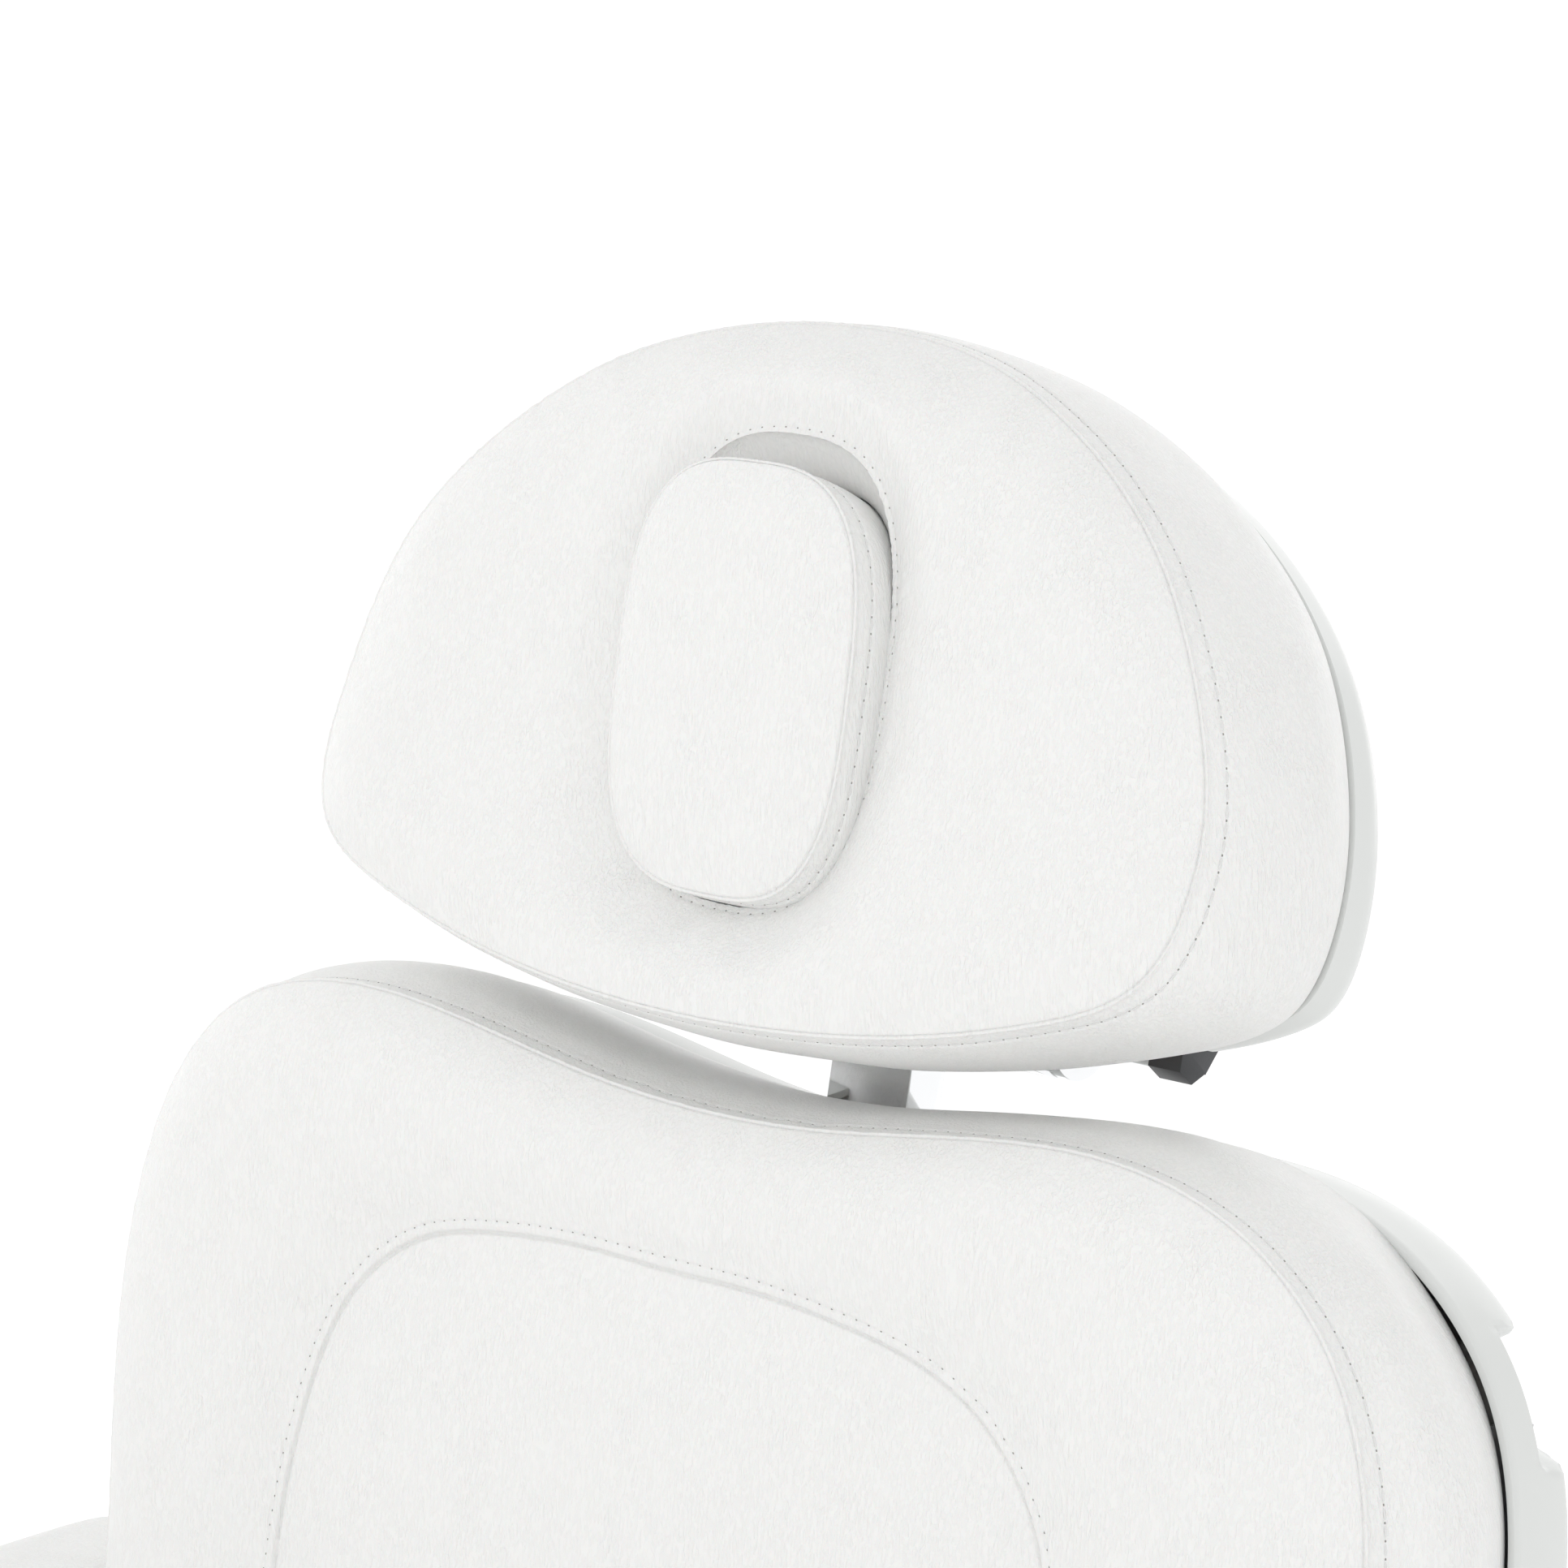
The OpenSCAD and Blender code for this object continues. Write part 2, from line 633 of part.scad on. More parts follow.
// Rows of [height share, inset share of the plug's edge roll]
plug_shares = [[0, 0.4], [0.06, 0], [0.75, 0], [0.92, 0.12], [0.98, 0.4], [1, 1]];
plug_roll = 14;
plug_crown = 5;
plug_top_share = 0.4;
module headrest_plug() {
  height = head_rim + plug_proud;
  rings = [for (s = plug_shares)
    leaned(grown(plug_line(0), -plug_roll * s.y), height * s.x, s.x * plug_lean_share)];
  top = leaned(shrunk(plug_line(0), plug_top_share), height + plug_crown, plug_lean_share);
  color(leather) at_head() on_pad_plane(head_rim) ring_stack(concat(rings, [top]));
}

head_board_in = 14;
module headrest_board() {
  color(plywood) at_head() on_pad_plane(head_rim + board_t) linear_extrude(board_t) difference() {
    polygon(grown(head_line, -head_board_in));
    polygon(plug_line(over));
  }
}

head_shell_depth = 26;
head_shell_swell = 6;
head_shell_round = 20;
head_shell_shares = [[0, 1], [0.4, 1], [0.75, 0.85], [0.95, 0.4], [1, 0]];
neck_half = 108;
neck_top = -58;
module headrest_shell() {
  edge = tucked(head_line, head_shell_swell, head_tuck);
  outer = [for (i = [len(head_shell_shares) - 1:-1:0]) let (s = head_shell_shares[i])
    raised(grown(edge, -head_shell_round * (1 - s.y)), -head_shell_depth * s.x)];
  inner = [for (s = head_shell_shares)
    raised(grown(edge, -wall - head_shell_round * (1 - s.y)), -(head_shell_depth - wall) * s.x)];
  hole = [raised(plug_line(over + 2 * wall), -head_shell_depth + wall),
    raised(plug_line(over + 2 * wall), -board_t), raised(plug_line(over), -board_t),
    raised(plug_line(over), -head_shell_depth)];
  color(shell_grey) at_head() difference() {
    on_pad_plane(head_rim) ring_loop(concat(outer, inner, hole));
    block([-neck_half, head_rim + board_t, -head_h],
      [neck_half + lever_x0 / 2, head_rim + 2 * head_shell_depth, neck_top]);
  }
}

bracket_t = 4;
strap_x = 78;
strap_w = 26;
strap_top = 70;
foot_low = -112;
foot_high = -92;
strap_y = head_rim + board_t;
module headrest_bracket() {
  color(steel_grey) difference() {
    union() {
      at_head() {
        left_and_right()
          block([strap_x, strap_y, foot_low], [strap_x + strap_w, strap_y + bracket_t, strap_top]);
        block([-strap_x, strap_y, foot_low], [strap_x, strap_y + bracket_t, foot_high]);
      }
      left_and_right() bracket_ear();
    }
    at_tilt() pin_x(-head_w / 2, head_w / 2, tilt_pin_d);
  }
}

// Ear from the bracket's foot to the tilt pin
tilt_in_head = [hinge_v - head_y, tilt_z - head_z];
tilt_d = tilt_in_head.x * cos(head_tilt) - tilt_in_head.y * sin(head_tilt);
tilt_s = tilt_in_head.x * sin(head_tilt) + tilt_in_head.y * cos(head_tilt);
module bracket_ear() {
  at_head() across(knuckle_half + 2 * fit, ear_t) {
    translate([tilt_d, tilt_s]) circle(r = ear_r);
    polygon([[strap_y, foot_low], [tilt_d, tilt_s - ear_r], [tilt_d, tilt_s + ear_r],
      [strap_y, foot_high]]);
  }
}

module tilt_clamp() {
  color(chrome) difference() {
    union() {
      at_tilt() pin_x(clamp_x0, clamp_x1, clamp_d);
      at_head() block([clamp_x0 + ear_t, strap_y + bracket_t, foot_low],
        [clamp_x1 - ear_t, tilt_d, foot_high]);
    }
    at_tilt() pin_x(clamp_x0 - over, clamp_x1 + over, tilt_pin_d + 2 * fit);
  }
}

lever_hub_d = 18;
lever_len = 62;
lever_tip_d = 12;
lever_rise = 55;
module tilt_lever() {
  color(dark_grey) at_tilt() difference() {
    union() {
      translate([lever_x0, 0, 0]) rotate([0, 90, 0])
        cylinder(h = lever_x1 - lever_x0, d = lever_hub_d, $fn = 6);
      across(lever_x0, lever_x1 - lever_x0) rotate(lever_rise) polygon([[0, -lever_hub_d / 2],
        [lever_len, -lever_tip_d / 2], [lever_len, lever_tip_d / 2], [0, lever_hub_d / 2]]);
    }
    pin_x(lever_x0 - over, lever_x1 - lever_cap, tilt_pin_d + 2 * fit);
  }
}

// Seat. The cushion is rolled round both hinge lines.
nose_r = hinge_drop;
nose_steps = 9;
seat_low = hinge_drop - seat_pad_t;
low_angle = asin(seat_low / nose_r);
function seat_profile() = concat(
  [for (k = [0:nose_steps]) let (a = low_angle + (90 - low_angle) * k / nose_steps)
    [hinge_span / 2 + nose_r * cos(a), nose_r * sin(a)]],
  [for (k = [1:3]) [hinge_span / 2 - hinge_span * k / 4, nose_r]],
  [for (k = [0:nose_steps]) let (a = 90 + (90 - low_angle) * k / nose_steps)
    [-hinge_span / 2 + nose_r * cos(a), nose_r * sin(a)]]);
// Rows of [share of the half width, inset share of the edge roll]
seat_side_shares = [[-1, 1], [-0.985, 0.5], [-0.95, 0.15], [-0.9, 0], [-0.3, 0], [0.3, 0], [0.9, 0],
  [0.95, 0.15], [0.985, 0.5], [1, 1]];
seat_roll = 20;
function seat_ring(s) = let (p = grown(seat_profile(), -seat_roll * s.y))
  [for (q = p) [q.x, max(q.y, seat_low + soft_gap), s.x * seat_w / 2]];
module seat_cushion() {
  color(leather) translate([0, seat_mid_y, hinge_z]) rotate([90, 0, 90])
    ring_stack([for (s = seat_side_shares) seat_ring(s)]);
}

module at_seat() {
  translate([0, seat_mid_y, hinge_z]) children();
}

seat_board_t = 12;
board_end = 12;
seat_board_low = seat_low - seat_board_t;
rail_h = 30;
rail_low = seat_board_low - rail_h;
rail_w = 40;
rail_in = 36;
rail_x1 = seat_plate_x - rail_in;
rail_x0 = rail_x1 - rail_w;
cross_y = 150;
cross_w = 40;
stub_in = 60;
stub_w = 30;
cover_wall = 3;
cover_gap = 2.5;
cover_x0 = back_plate_x + plate_t + cover_gap;
cover_t = 17.5;
lug_y = 120;
seat_bolt_places = four_places((rail_x0 + rail_x1) / 2, -cross_y, cross_y);

module seat_board() {
  color(plywood) at_seat() difference() {
    block([-seat_w / 2 + board_in, -hinge_span / 2 - board_end, seat_board_low],
      [seat_w / 2 - board_in, hinge_span / 2 + board_end, seat_low]);
    seat_bolt_bores();
  }
}

module seat_bolt_bores() {
  for (p = seat_bolt_places) translate([p.x, p.y, rail_low - over])
    cylinder(h = rail_h + seat_board_t + 2 * over, d = bolt_d + 2 * fit);
}

module seat_bolts() {
  color(steel_grey) at_seat() for (p = seat_bolt_places) translate([p.x, p.y, rail_low]) {
    cylinder(h = rail_h + seat_board_t, d = bolt_d);
    translate([0, 0, -bolt_head_h]) cylinder(h = bolt_head_h, d = bolt_head_d);
  }
}

// Plate that holds one hinge pin, in the YZ plane with its pin at the origin
module seat_plate() {
  difference() {
    union() {
      circle(r = hinge_boss);
      polygon([[hinge_boss, 0], [-hinge_boss, hinge_boss], [-stub_in - stub_w, rail_low + rail_h],
        [-stub_in - stub_w, rail_low], [0, rail_low]]);
    }
    bore(hinge_pin_d + 2 * fit);
  }
}

module seat_corner() {
  translate([0, hinge_span / 2, 0]) {
    across(seat_plate_x, plate_t) seat_plate();
    tube_box([rail_x1, -stub_in - stub_w, rail_low], [seat_plate_x, -stub_in, rail_low + rail_h], wall, 0);
  }
}

module seat_frame() {
  color(steel_grey) at_seat() difference() {
    union() {
      left_and_right() {
        tube_box([rail_x0, -hinge_span / 2 + hinge_boss / 2, rail_low],
          [rail_x1, hinge_span / 2 - hinge_boss / 2, rail_low + rail_h], wall, 1);
        seat_corner();
        mirror([0, 1, 0]) seat_corner();
        for (y = [-lug_y, lug_y]) tube_box([rail_x1, y - stub_w / 2, rail_low],
          [cover_x0 + cover_t - cover_wall, y + stub_w / 2, rail_low + rail_h], wall, 0);
      }
      for (y = [-cross_y, cross_y]) tube_box([-rail_x0, y - cross_w / 2, rail_low],
        [rail_x0, y + cross_w / 2, rail_low + rail_h], wall, 0);
    }
    seat_bolt_bores();
  }
}

// Side covers over the hinge plates
cover_r = 58;
module cover_profile(inset) {
  for (y = [-hinge_span / 2, hinge_span / 2]) translate([y, 0]) circle(r = cover_r - inset);
  translate([-hinge_span / 2, rail_low - wall + inset])
    square([hinge_span, -rail_low + wall + hinge_boss - 2 * inset]);
}

module side_cover_left() {
  color(shell_grey) at_seat() difference() {
    across(cover_x0, cover_t) cover_profile(0);
    across(cover_x0 - over, cover_t + over - cover_wall) cover_profile(cover_wall);
  }
}

module side_cover_right() {
  mirror([1, 0, 0]) side_cover_left();
}

module hinge_pins_at(y) {
  color(chrome) at_seat() left_and_right() translate([0, y, 0])
    pin_x(seat_plate_x - fit, seat_plate_x + pin_len + fit, hinge_pin_d);
}

module rear_hinge_pins() {
  hinge_pins_at(hinge_span / 2);
}

module front_hinge_pins() {
  hinge_pins_at(-hinge_span / 2);
}

// Actuators. A sealed body holds a rod whose forked end carries the push pin.
ratio_back = 1.115;
ratio_leg = 1.09;
rod_d = 20;
fork_len = 36;
fork_gap = crank_t / 2 + 2;
fork_cheek = 8;
fork_half = 14;
body_half = 23;
body_gap = 12;
body_len = 236;
motor_d = 44;
motor_len = 100;
swing_max = max(back_travel, leg_travel) / 2;
body_start = crank_drop * tan(swing_max) + fork_len + fork_cheek + body_gap;
function push_place(ratio, angle) = crank_drop * ratio * angle * PI / 180;
back_push = push_place(ratio_back, back_travel / 2);
leg_push = push_place(ratio_leg, leg_angle - leg_travel / 2);

// Forked rod: the pin is at the origin and the body lies towards -Y
module forked_rod(reach) {
  for (x = [-fork_gap - fork_cheek, fork_gap])
    block([x, -fork_len, -fork_half], [x + fork_cheek, fork_half, fork_half]);
  block([-fork_gap - fork_cheek, -fork_len - fork_cheek, -fork_half],
    [fork_gap + fork_cheek, -fork_len, fork_half]);
  pin_x(-fork_gap - fork_cheek, fork_gap + fork_cheek, push_pin_d);
  translate([0, -fork_len - fork_cheek, 0]) rotate([90, 0, 0]) cylinder(h = reach, d = rod_d);
}

module actuator_body() {
  difference() {
    union() {
      block([-body_half, -body_start - body_len, -body_half], [body_half, -body_start, body_half]);
      translate([0, -body_start - body_len + motor_len, -body_half - motor_d / 2 + over])
        rotate([90, 0, 0]) cylinder(h = motor_len, d = motor_d);
    }
    translate([0, -body_start + over, 0]) rotate([90, 0, 0])
      cylinder(h = body_len - wall, d = rod_d + 2 * fit);
  }
}

module at_back_push(y) {
  translate([crank_x, back_y + y, hinge_z - crank_drop]) children();
}

module at_leg_push(y) {
  translate([-crank_x, front_y + y, hinge_z - crank_drop]) mirror([0, 1, 0]) children();
}

rod_hold = 30;
rod_reach_back = back_push + body_start - fork_len - fork_cheek + rod_hold;
rod_reach_leg = body_start - fork_len - fork_cheek - leg_push
  + push_place(ratio_leg, leg_travel) + rod_hold;

module back_actuator() {
  color(dark_grey) at_back_push(0) actuator_body();
}

module back_rod() {
  color(chrome) at_back_push(back_push) forked_rod(rod_reach_back);
}

module leg_actuator() {
  color(dark_grey) at_leg_push(0) actuator_body();
}

module leg_rod() {
  color(chrome) at_leg_push(leg_push) forked_rod(rod_reach_leg);
}

// Leg rest
leg_n = 60;
leg_outline_shares = [[0, 0], [0.5, 0], [0.88, 0.002], [0.97, 0.045], [0.99, 0.2], [0.99, 0.5],
  [0.98, 0.8], [0.945, 0.93], [0.82, 0.99], [0.5, 1], [0, 1]];
leg_panel_shares = [[0, 0.1], [0.35, 0.1], [0.6, 0.105], [0.68, 0.15], [0.7, 0.25], [0.7, 0.5],
  [0.69, 0.72], [0.66, 0.83], [0.56, 0.88], [0.35, 0.895], [0, 0.9]];
function leg_line(shares) =
  closed_spline(from_shares(shares, leg_w / 2, back_foot, leg_end - back_foot), leg_n);
leg_frame_top = leg_end - 60;
leg_bolts = four_places((side_x + back_plate_x) / 2, foot_z + plate_top - cross_h, leg_frame_top - tube_w);

module legrest_frame() {
  color(steel_grey) at_leg() difference() {
    union() {
      reclining_frame(leg_frame_top, leg_travel / 2, -1);
      tube_box([-side_x, board_back, leg_frame_top - cross_h], [side_x, frame_back, leg_frame_top], wall, 0);
    }
    bolt_bores(leg_bolts, pad_back, frame_back);
  }
}

module legrest_board() {
  color(plywood) at_leg() difference() {
    on_pad_plane(board_back) linear_extrude(board_t) polygon(grown(leg_line(leg_outline_shares), -board_in));
    bolt_bores(leg_bolts, pad_back, frame_back);
  }
}

module legrest_cushion() {
  color(leather) at_leg() on_pad_plane(pad_back - soft_gap)
    panelled_cushion(leg_line(leg_outline_shares), leg_line(leg_panel_shares));
}

module legrest_shell() {
  color(shell_grey) at_leg() {
    shell_bosses(foot_z + plate_top - cross_h + shell_boss_step, leg_frame_top - tube_w - shell_boss_step);
    difference() {
      on_pad_plane(pad_back) tray(leg_line(leg_outline_shares), shell_depth, shell_swell);
      block([-crank_x - crank_window, 0, 0],
        [-crank_x + crank_window, shell_depth * 2 + pad_back, crank_window_top]);
      block([-leg_w, pad_back - over, 0], [leg_w, frame_back + over, shell_cut_top]);
      left_and_right() block([back_plate_x - over, pad_back - over, 0],
        [leg_w, frame_back + over, foot_z + 2 * cross_h]);
    }
  }
}

module legrest_bolts() {
  color(steel_grey) at_leg() bolts_at(leg_bolts, pad_back, frame_back);
}

// Lift: telescoping square column with glides, and its motor tube
plate_h = 10;
foot_h = 14;
base_tube_w = 50;
base_tube_h = 30;
base_plate_top = foot_h + base_tube_h + plate_h;
column_wall = 4;
glide_t = 3;
inner_w = column_w - 2 * column_wall - 2 * glide_t;
lift_head_low = hinge_z + rail_low - plate_h;
outer_top = 400;
inner_foot = base_plate_top + column_wall;
glide_w = 60;
glide_h = 40;

module at_column() {
  translate([0, seat_mid_y, 0]) children();
}

module square_tube(w, z0, z1, t) {
  tube_box([-w / 2, -w / 2, z0], [w / 2, w / 2, z1], t, 2);
}

module column_outer() {
  color(steel_grey) at_column() square_tube(column_w, base_plate_top, outer_top, column_wall);
}

module column_inner() {
  color(steel_grey) at_column() square_tube(inner_w, inner_foot, lift_head_low, column_wall);
}

// Four slide pads between the columns, clear of one of them by the fit
module glides(z0, inside) {
  y0 = inner_w / 2 + inside;
  color(rubber) at_column() for (k = [0:3]) rotate(90 * k)
    block([-glide_w / 2, y0, z0], [glide_w / 2, y0 + glide_t - fit, z0 + glide_h]);
}

module upper_glides() {
  glides(outer_top - glide_h, fit);
}

module lower_glides() {
  glides(inner_foot, 0);
}

motor_tube_d = 70;
motor_tube_top = 360;
lift_rod_d = 30;
lift_rod_foot = 80;
module lift_motor_tube() {
  color(dark_grey) at_column() difference() {
    translate([0, 0, base_plate_top]) cylinder(h = motor_tube_top - base_plate_top, d = motor_tube_d);
    translate([0, 0, base_plate_top + plate_h])
      cylinder(h = motor_tube_top, d = lift_rod_d + 2 * fit);
  }
}

module lift_rod() {
  color(chrome) at_column() translate([0, 0, lift_rod_foot])
    cylinder(h = lift_head_low - lift_rod_foot, d = lift_rod_d);
}

shroud_in_w = 176;
shroud_out_w = 190;
shroud_lap = 10;
shroud_top = 430;
module shroud_lower() {
  color(shell_grey) at_column() square_tube(shroud_in_w, base_h, shroud_top, wall);
}

module shroud_upper() {
  color(shell_grey) at_column()
    square_tube(shroud_out_w, shroud_top - lift_travel - shroud_lap, lift_head_low, wall);
}

head_plate_w = 200;
module lift_head() {
  color(steel_grey) at_column() block([-head_plate_w / 2, -cross_y - cross_w / 2, lift_head_low],
    [head_plate_w / 2, cross_y + cross_w / 2, lift_head_low + plate_h]);
}

// Base
base_margin = 22;
foot_d = 50;
stud_d = 10;
disc_h = 8;
base_x = base_w / 2 - base_margin;
base_y = base_len / 2 - base_margin;
plate_half = 110;
function foot_places() = [for (sx = [-1, 1]) for (sy = [-1, 1])
  [sx * (base_x - base_tube_w / 2), sy * (base_y - base_tube_w / 2)]];
module base_frame() {
  z0 = foot_h;
  z1 = foot_h + base_tube_h;
  color(steel_grey) at_column() difference() {
    union() {
      left_and_right() tube_box([base_x - base_tube_w, -base_y, z0], [base_x, base_y, z1], wall, 1);
      for (y = [-base_y, base_y - base_tube_w])
        tube_box([-base_x + base_tube_w, y, z0], [base_x - base_tube_w, y + base_tube_w, z1], wall, 0);
      for (y = [-plate_half, plate_half - base_tube_w])
        tube_box([-base_x + base_tube_w, y, z0], [base_x - base_tube_w, y + base_tube_w, z1], wall, 0);
      block([-plate_half, -plate_half, z1], [plate_half, plate_half, z1 + plate_h]);
    }
    for (p = foot_places()) translate([p.x, p.y, z0 - over])
      cylinder(h = base_tube_h + 2 * over, d = stud_d + 2 * fit);
  }
}

module levelling_feet() {
  color(rubber) at_column() for (p = foot_places()) translate([p.x, p.y, 0]) {
    cylinder(h = disc_h, d = foot_d);
    cylinder(h = foot_h + base_tube_h - wall, d = stud_d);
    cylinder(h = foot_h, d = foot_d / 2, $fn = 6);
  }
}

cover_foot = 9;
skirt_top = 82;
base_round = 60;
top_open = column_w + 8;
top_round = 12;
cover_steps = 6;
// Rows of [height share from skirt to top, inset share from the skirt to the opening]
base_cover_shares = [[0, 0], [0.35, 0.06], [0.7, 0.25], [0.9, 0.5], [1, 0.75]];
module base_cover() {
  reach = [(base_w - top_open) / 2, (base_len - top_open) / 2];
  function ring(k, extra, z) = raised(rounded_box(base_w - 2 * k * reach.x - extra,
    base_len - 2 * k * reach.y - extra, base_round + (top_round - base_round) * k, cover_steps), z);
  rise = base_h - skirt_top;
  outer = concat([ring(0, 0, cover_foot)],
    [for (s = base_cover_shares) ring(s.y, 0, skirt_top + rise * s.x)], [ring(1, 0, base_h)]);
  inner = concat([ring(1, 0, base_h - wall)],
    [for (i = [len(base_cover_shares) - 1:-1:0]) let (s = base_cover_shares[i])
      ring(s.y, 2 * wall * (1 - s.x), skirt_top + rise * s.x - wall)],
    [ring(0, 2 * wall, cover_foot)]);
  color(shell_grey) at_column() difference() {
    ring_loop(concat(outer, inner));
    block([inlet_x - inlet_w / 2, base_len / 2 - inlet_depth, inlet_z - inlet_h / 2],
      [inlet_x + inlet_w / 2, base_len / 2 + over, inlet_z + inlet_h / 2]);
    translate([-inlet_x, base_len / 2 - inlet_depth, inlet_z]) rotate([-90, 0, 0])
      cylinder(h = inlet_depth + over, d = socket_d + 2 * fit);
  }
}

inlet_x = 60;
inlet_z = 62;
inlet_w = 28;
inlet_h = 20;
inlet_depth = 26;
inlet_flange = 6;
inlet_lip = 2;
inlet_pin_d = 3;
inlet_pin_gap = 7;
module mains_inlet() {
  y1 = base_len / 2;
  color(rubber) at_column() translate([inlet_x, y1, inlet_z]) {
    difference() {
      union() {
        block([-inlet_w / 2, -inlet_depth, -inlet_h / 2], [inlet_w / 2, 0, inlet_h / 2]);
        block([-inlet_w / 2 - inlet_flange, 0, -inlet_h / 2 - inlet_flange],
          [inlet_w / 2 + inlet_flange, inlet_lip, inlet_h / 2 + inlet_flange]);
      }
      block([-inlet_w / 2 + inlet_lip, -inlet_depth + inlet_lip, -inlet_h / 2 + inlet_lip],
        [inlet_w / 2 - inlet_lip, inlet_lip + over, inlet_h / 2 - inlet_lip]);
    }
    for (k = [-1:1]) translate([k * inlet_pin_gap, -inlet_depth + inlet_lip, 0]) rotate([-90, 0, 0])
      cylinder(h = inlet_depth / 2, d = inlet_pin_d);
  }
}

socket_d = 22;
socket_flange_d = 30;
socket_bore_d = 14;
module handset_socket() {
  color(rubber) at_column()
  translate([-inlet_x, base_len / 2, inlet_z]) rotate([90, 0, 0]) difference() {
    union() {
      cylinder(h = inlet_depth, d = socket_d);
      translate([0, 0, -inlet_lip]) cylinder(h = inlet_lip, d = socket_flange_d);
    }
    translate([0, 0, -inlet_lip - over]) cylinder(h = inlet_depth, d = socket_bore_d);
  }
}

control_w = 170;
control_l = 80;
control_h = 40;
module control_box() {
  z0 = foot_h + base_tube_h;
  y0 = base_y - base_tube_w - control_l / 2;
  color(dark_grey) at_column()
    block([-control_w / 2, y0, z0], [control_w / 2, y0 + control_l, z0 + control_h - over]);
}

base_frame();
levelling_feet();
base_cover();
control_box();
mains_inlet();
handset_socket();
column_outer();
column_inner();
upper_glides();
lower_glides();
lift_motor_tube();
lift_rod();
shroud_lower();
shroud_upper();
lift_head();
seat_frame();
seat_board();
seat_cushion();
seat_bolts();
side_cover_left();
side_cover_right();
rear_hinge_pins();
front_hinge_pins();
back_actuator();
back_rod();
leg_actuator();
leg_rod();
backrest_frame();
backrest_board();
backrest_cushion();
backrest_shell();
backrest_bolts();
bar_guide();
height_knob();
armrest_pins();
headrest_bar();
bar_end_cap();
headrest_pin();
headrest_bracket();
headrest_board();
headrest_cushion();
headrest_shell();
headrest_plug();
tilt_clamp();
tilt_lever();
arm_left();
arm_board_left();
arm_pad_left();
arm_right();
arm_board_right();
arm_pad_right();
legrest_frame();
legrest_board();
legrest_cushion();
legrest_shell();
legrest_bolts();
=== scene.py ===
"""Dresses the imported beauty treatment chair: stitched white leather pads, moulded shells,
chromed and painted metal, and a pale studio around it."""

import json
import math

import bmesh
import bpy
import numpy as np
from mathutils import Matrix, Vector

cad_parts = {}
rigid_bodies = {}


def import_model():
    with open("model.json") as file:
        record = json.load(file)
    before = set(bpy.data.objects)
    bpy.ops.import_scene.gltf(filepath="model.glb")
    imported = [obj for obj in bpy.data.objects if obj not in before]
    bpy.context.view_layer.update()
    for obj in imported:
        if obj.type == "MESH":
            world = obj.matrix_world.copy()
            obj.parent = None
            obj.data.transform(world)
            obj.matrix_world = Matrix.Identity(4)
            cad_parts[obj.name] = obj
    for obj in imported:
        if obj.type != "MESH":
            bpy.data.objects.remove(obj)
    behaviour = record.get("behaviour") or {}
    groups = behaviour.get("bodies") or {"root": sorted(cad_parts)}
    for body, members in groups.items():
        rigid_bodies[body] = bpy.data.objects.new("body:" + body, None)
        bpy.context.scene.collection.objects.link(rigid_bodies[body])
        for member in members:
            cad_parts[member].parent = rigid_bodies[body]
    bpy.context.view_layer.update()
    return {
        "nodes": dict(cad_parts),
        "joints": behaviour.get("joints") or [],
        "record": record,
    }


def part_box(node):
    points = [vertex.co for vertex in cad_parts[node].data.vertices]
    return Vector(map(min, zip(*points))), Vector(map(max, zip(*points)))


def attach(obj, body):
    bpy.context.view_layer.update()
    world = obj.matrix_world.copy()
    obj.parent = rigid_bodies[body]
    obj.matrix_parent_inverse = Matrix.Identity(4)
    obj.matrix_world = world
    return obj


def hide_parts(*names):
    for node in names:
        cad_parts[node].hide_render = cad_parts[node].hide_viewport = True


bl_info = {
    "name": "Beauty treatment chair",
    "version": (1, 0, 0),
    "blender": (4, 5, 0),
    "location": "3D View > Sidebar > Chair",
    "description": "Stitched pads, shells and metal for a powered beauty treatment chair",
    "category": "Object",
}

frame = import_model()
MM = 0.001
BODY_OF = {n: b for b, members in frame["record"]["behaviour"]["bodies"].items() for n in members}
JOINTS = {j["name"]: j for j in frame["joints"]}


def node_width(node):
    """Width across the chair of a CAD node, in metres."""
    low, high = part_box(node)
    return high.x - low.x


def length_setting(name, description, default):
    """A length that the user can set."""
    return bpy.props.FloatProperty(
        name=name, description=description, default=default, unit="LENGTH")


def colour_setting(name, description, default):
    """A linear colour that the user can set."""
    return bpy.props.FloatVectorProperty(
        name=name, description=description, default=default, subtype="COLOR")


class ChairSizes(bpy.types.PropertyGroup):
    """Sizes that the stitched pads share."""

    back_width: length_setting(
        "Backrest width", "Between the side seams", node_width("backrest_cushion") - 2 * 20 * MM)
    leg_width: length_setting(
        "Leg rest width", "Between the side seams", node_width("legrest_cushion") - 2 * 20 * MM)
    head_width: length_setting(
        "Headrest width", "Between the side seams", node_width("headrest_cushion") - 2 * 17 * MM)
    seat_width: length_setting("Seat width", "Across the seat cushion", node_width("seat_cushion"))
    seam_depth: length_setting("Seam depth", "How far a seam pulls into the pad", 0.9 * MM)
    fold_height: length_setting(
        "Fold height", "Rise of the folded leather edge at a seam", 0.6 * MM)
    band_width: length_setting("Band width", "From a seam to its topstitch row", 8 * MM)
    pucker: length_setting("Pucker", "Height of the gathers beside a seam", 0.22 * MM)
    stitch_pitch: length_setting("Stitch pitch", "From one stitch to the next", 6 * MM)
    stitch_length: length_setting("Stitch length", "Thread that shows of one stitch", 4.7 * MM)
    thread: length_setting("Thread", "Radius of the sewing thread", 0.38 * MM)
    edge_softness: length_setting(
        "Edge softness", "Width of the small bevel on metal edges", 0.9 * MM)


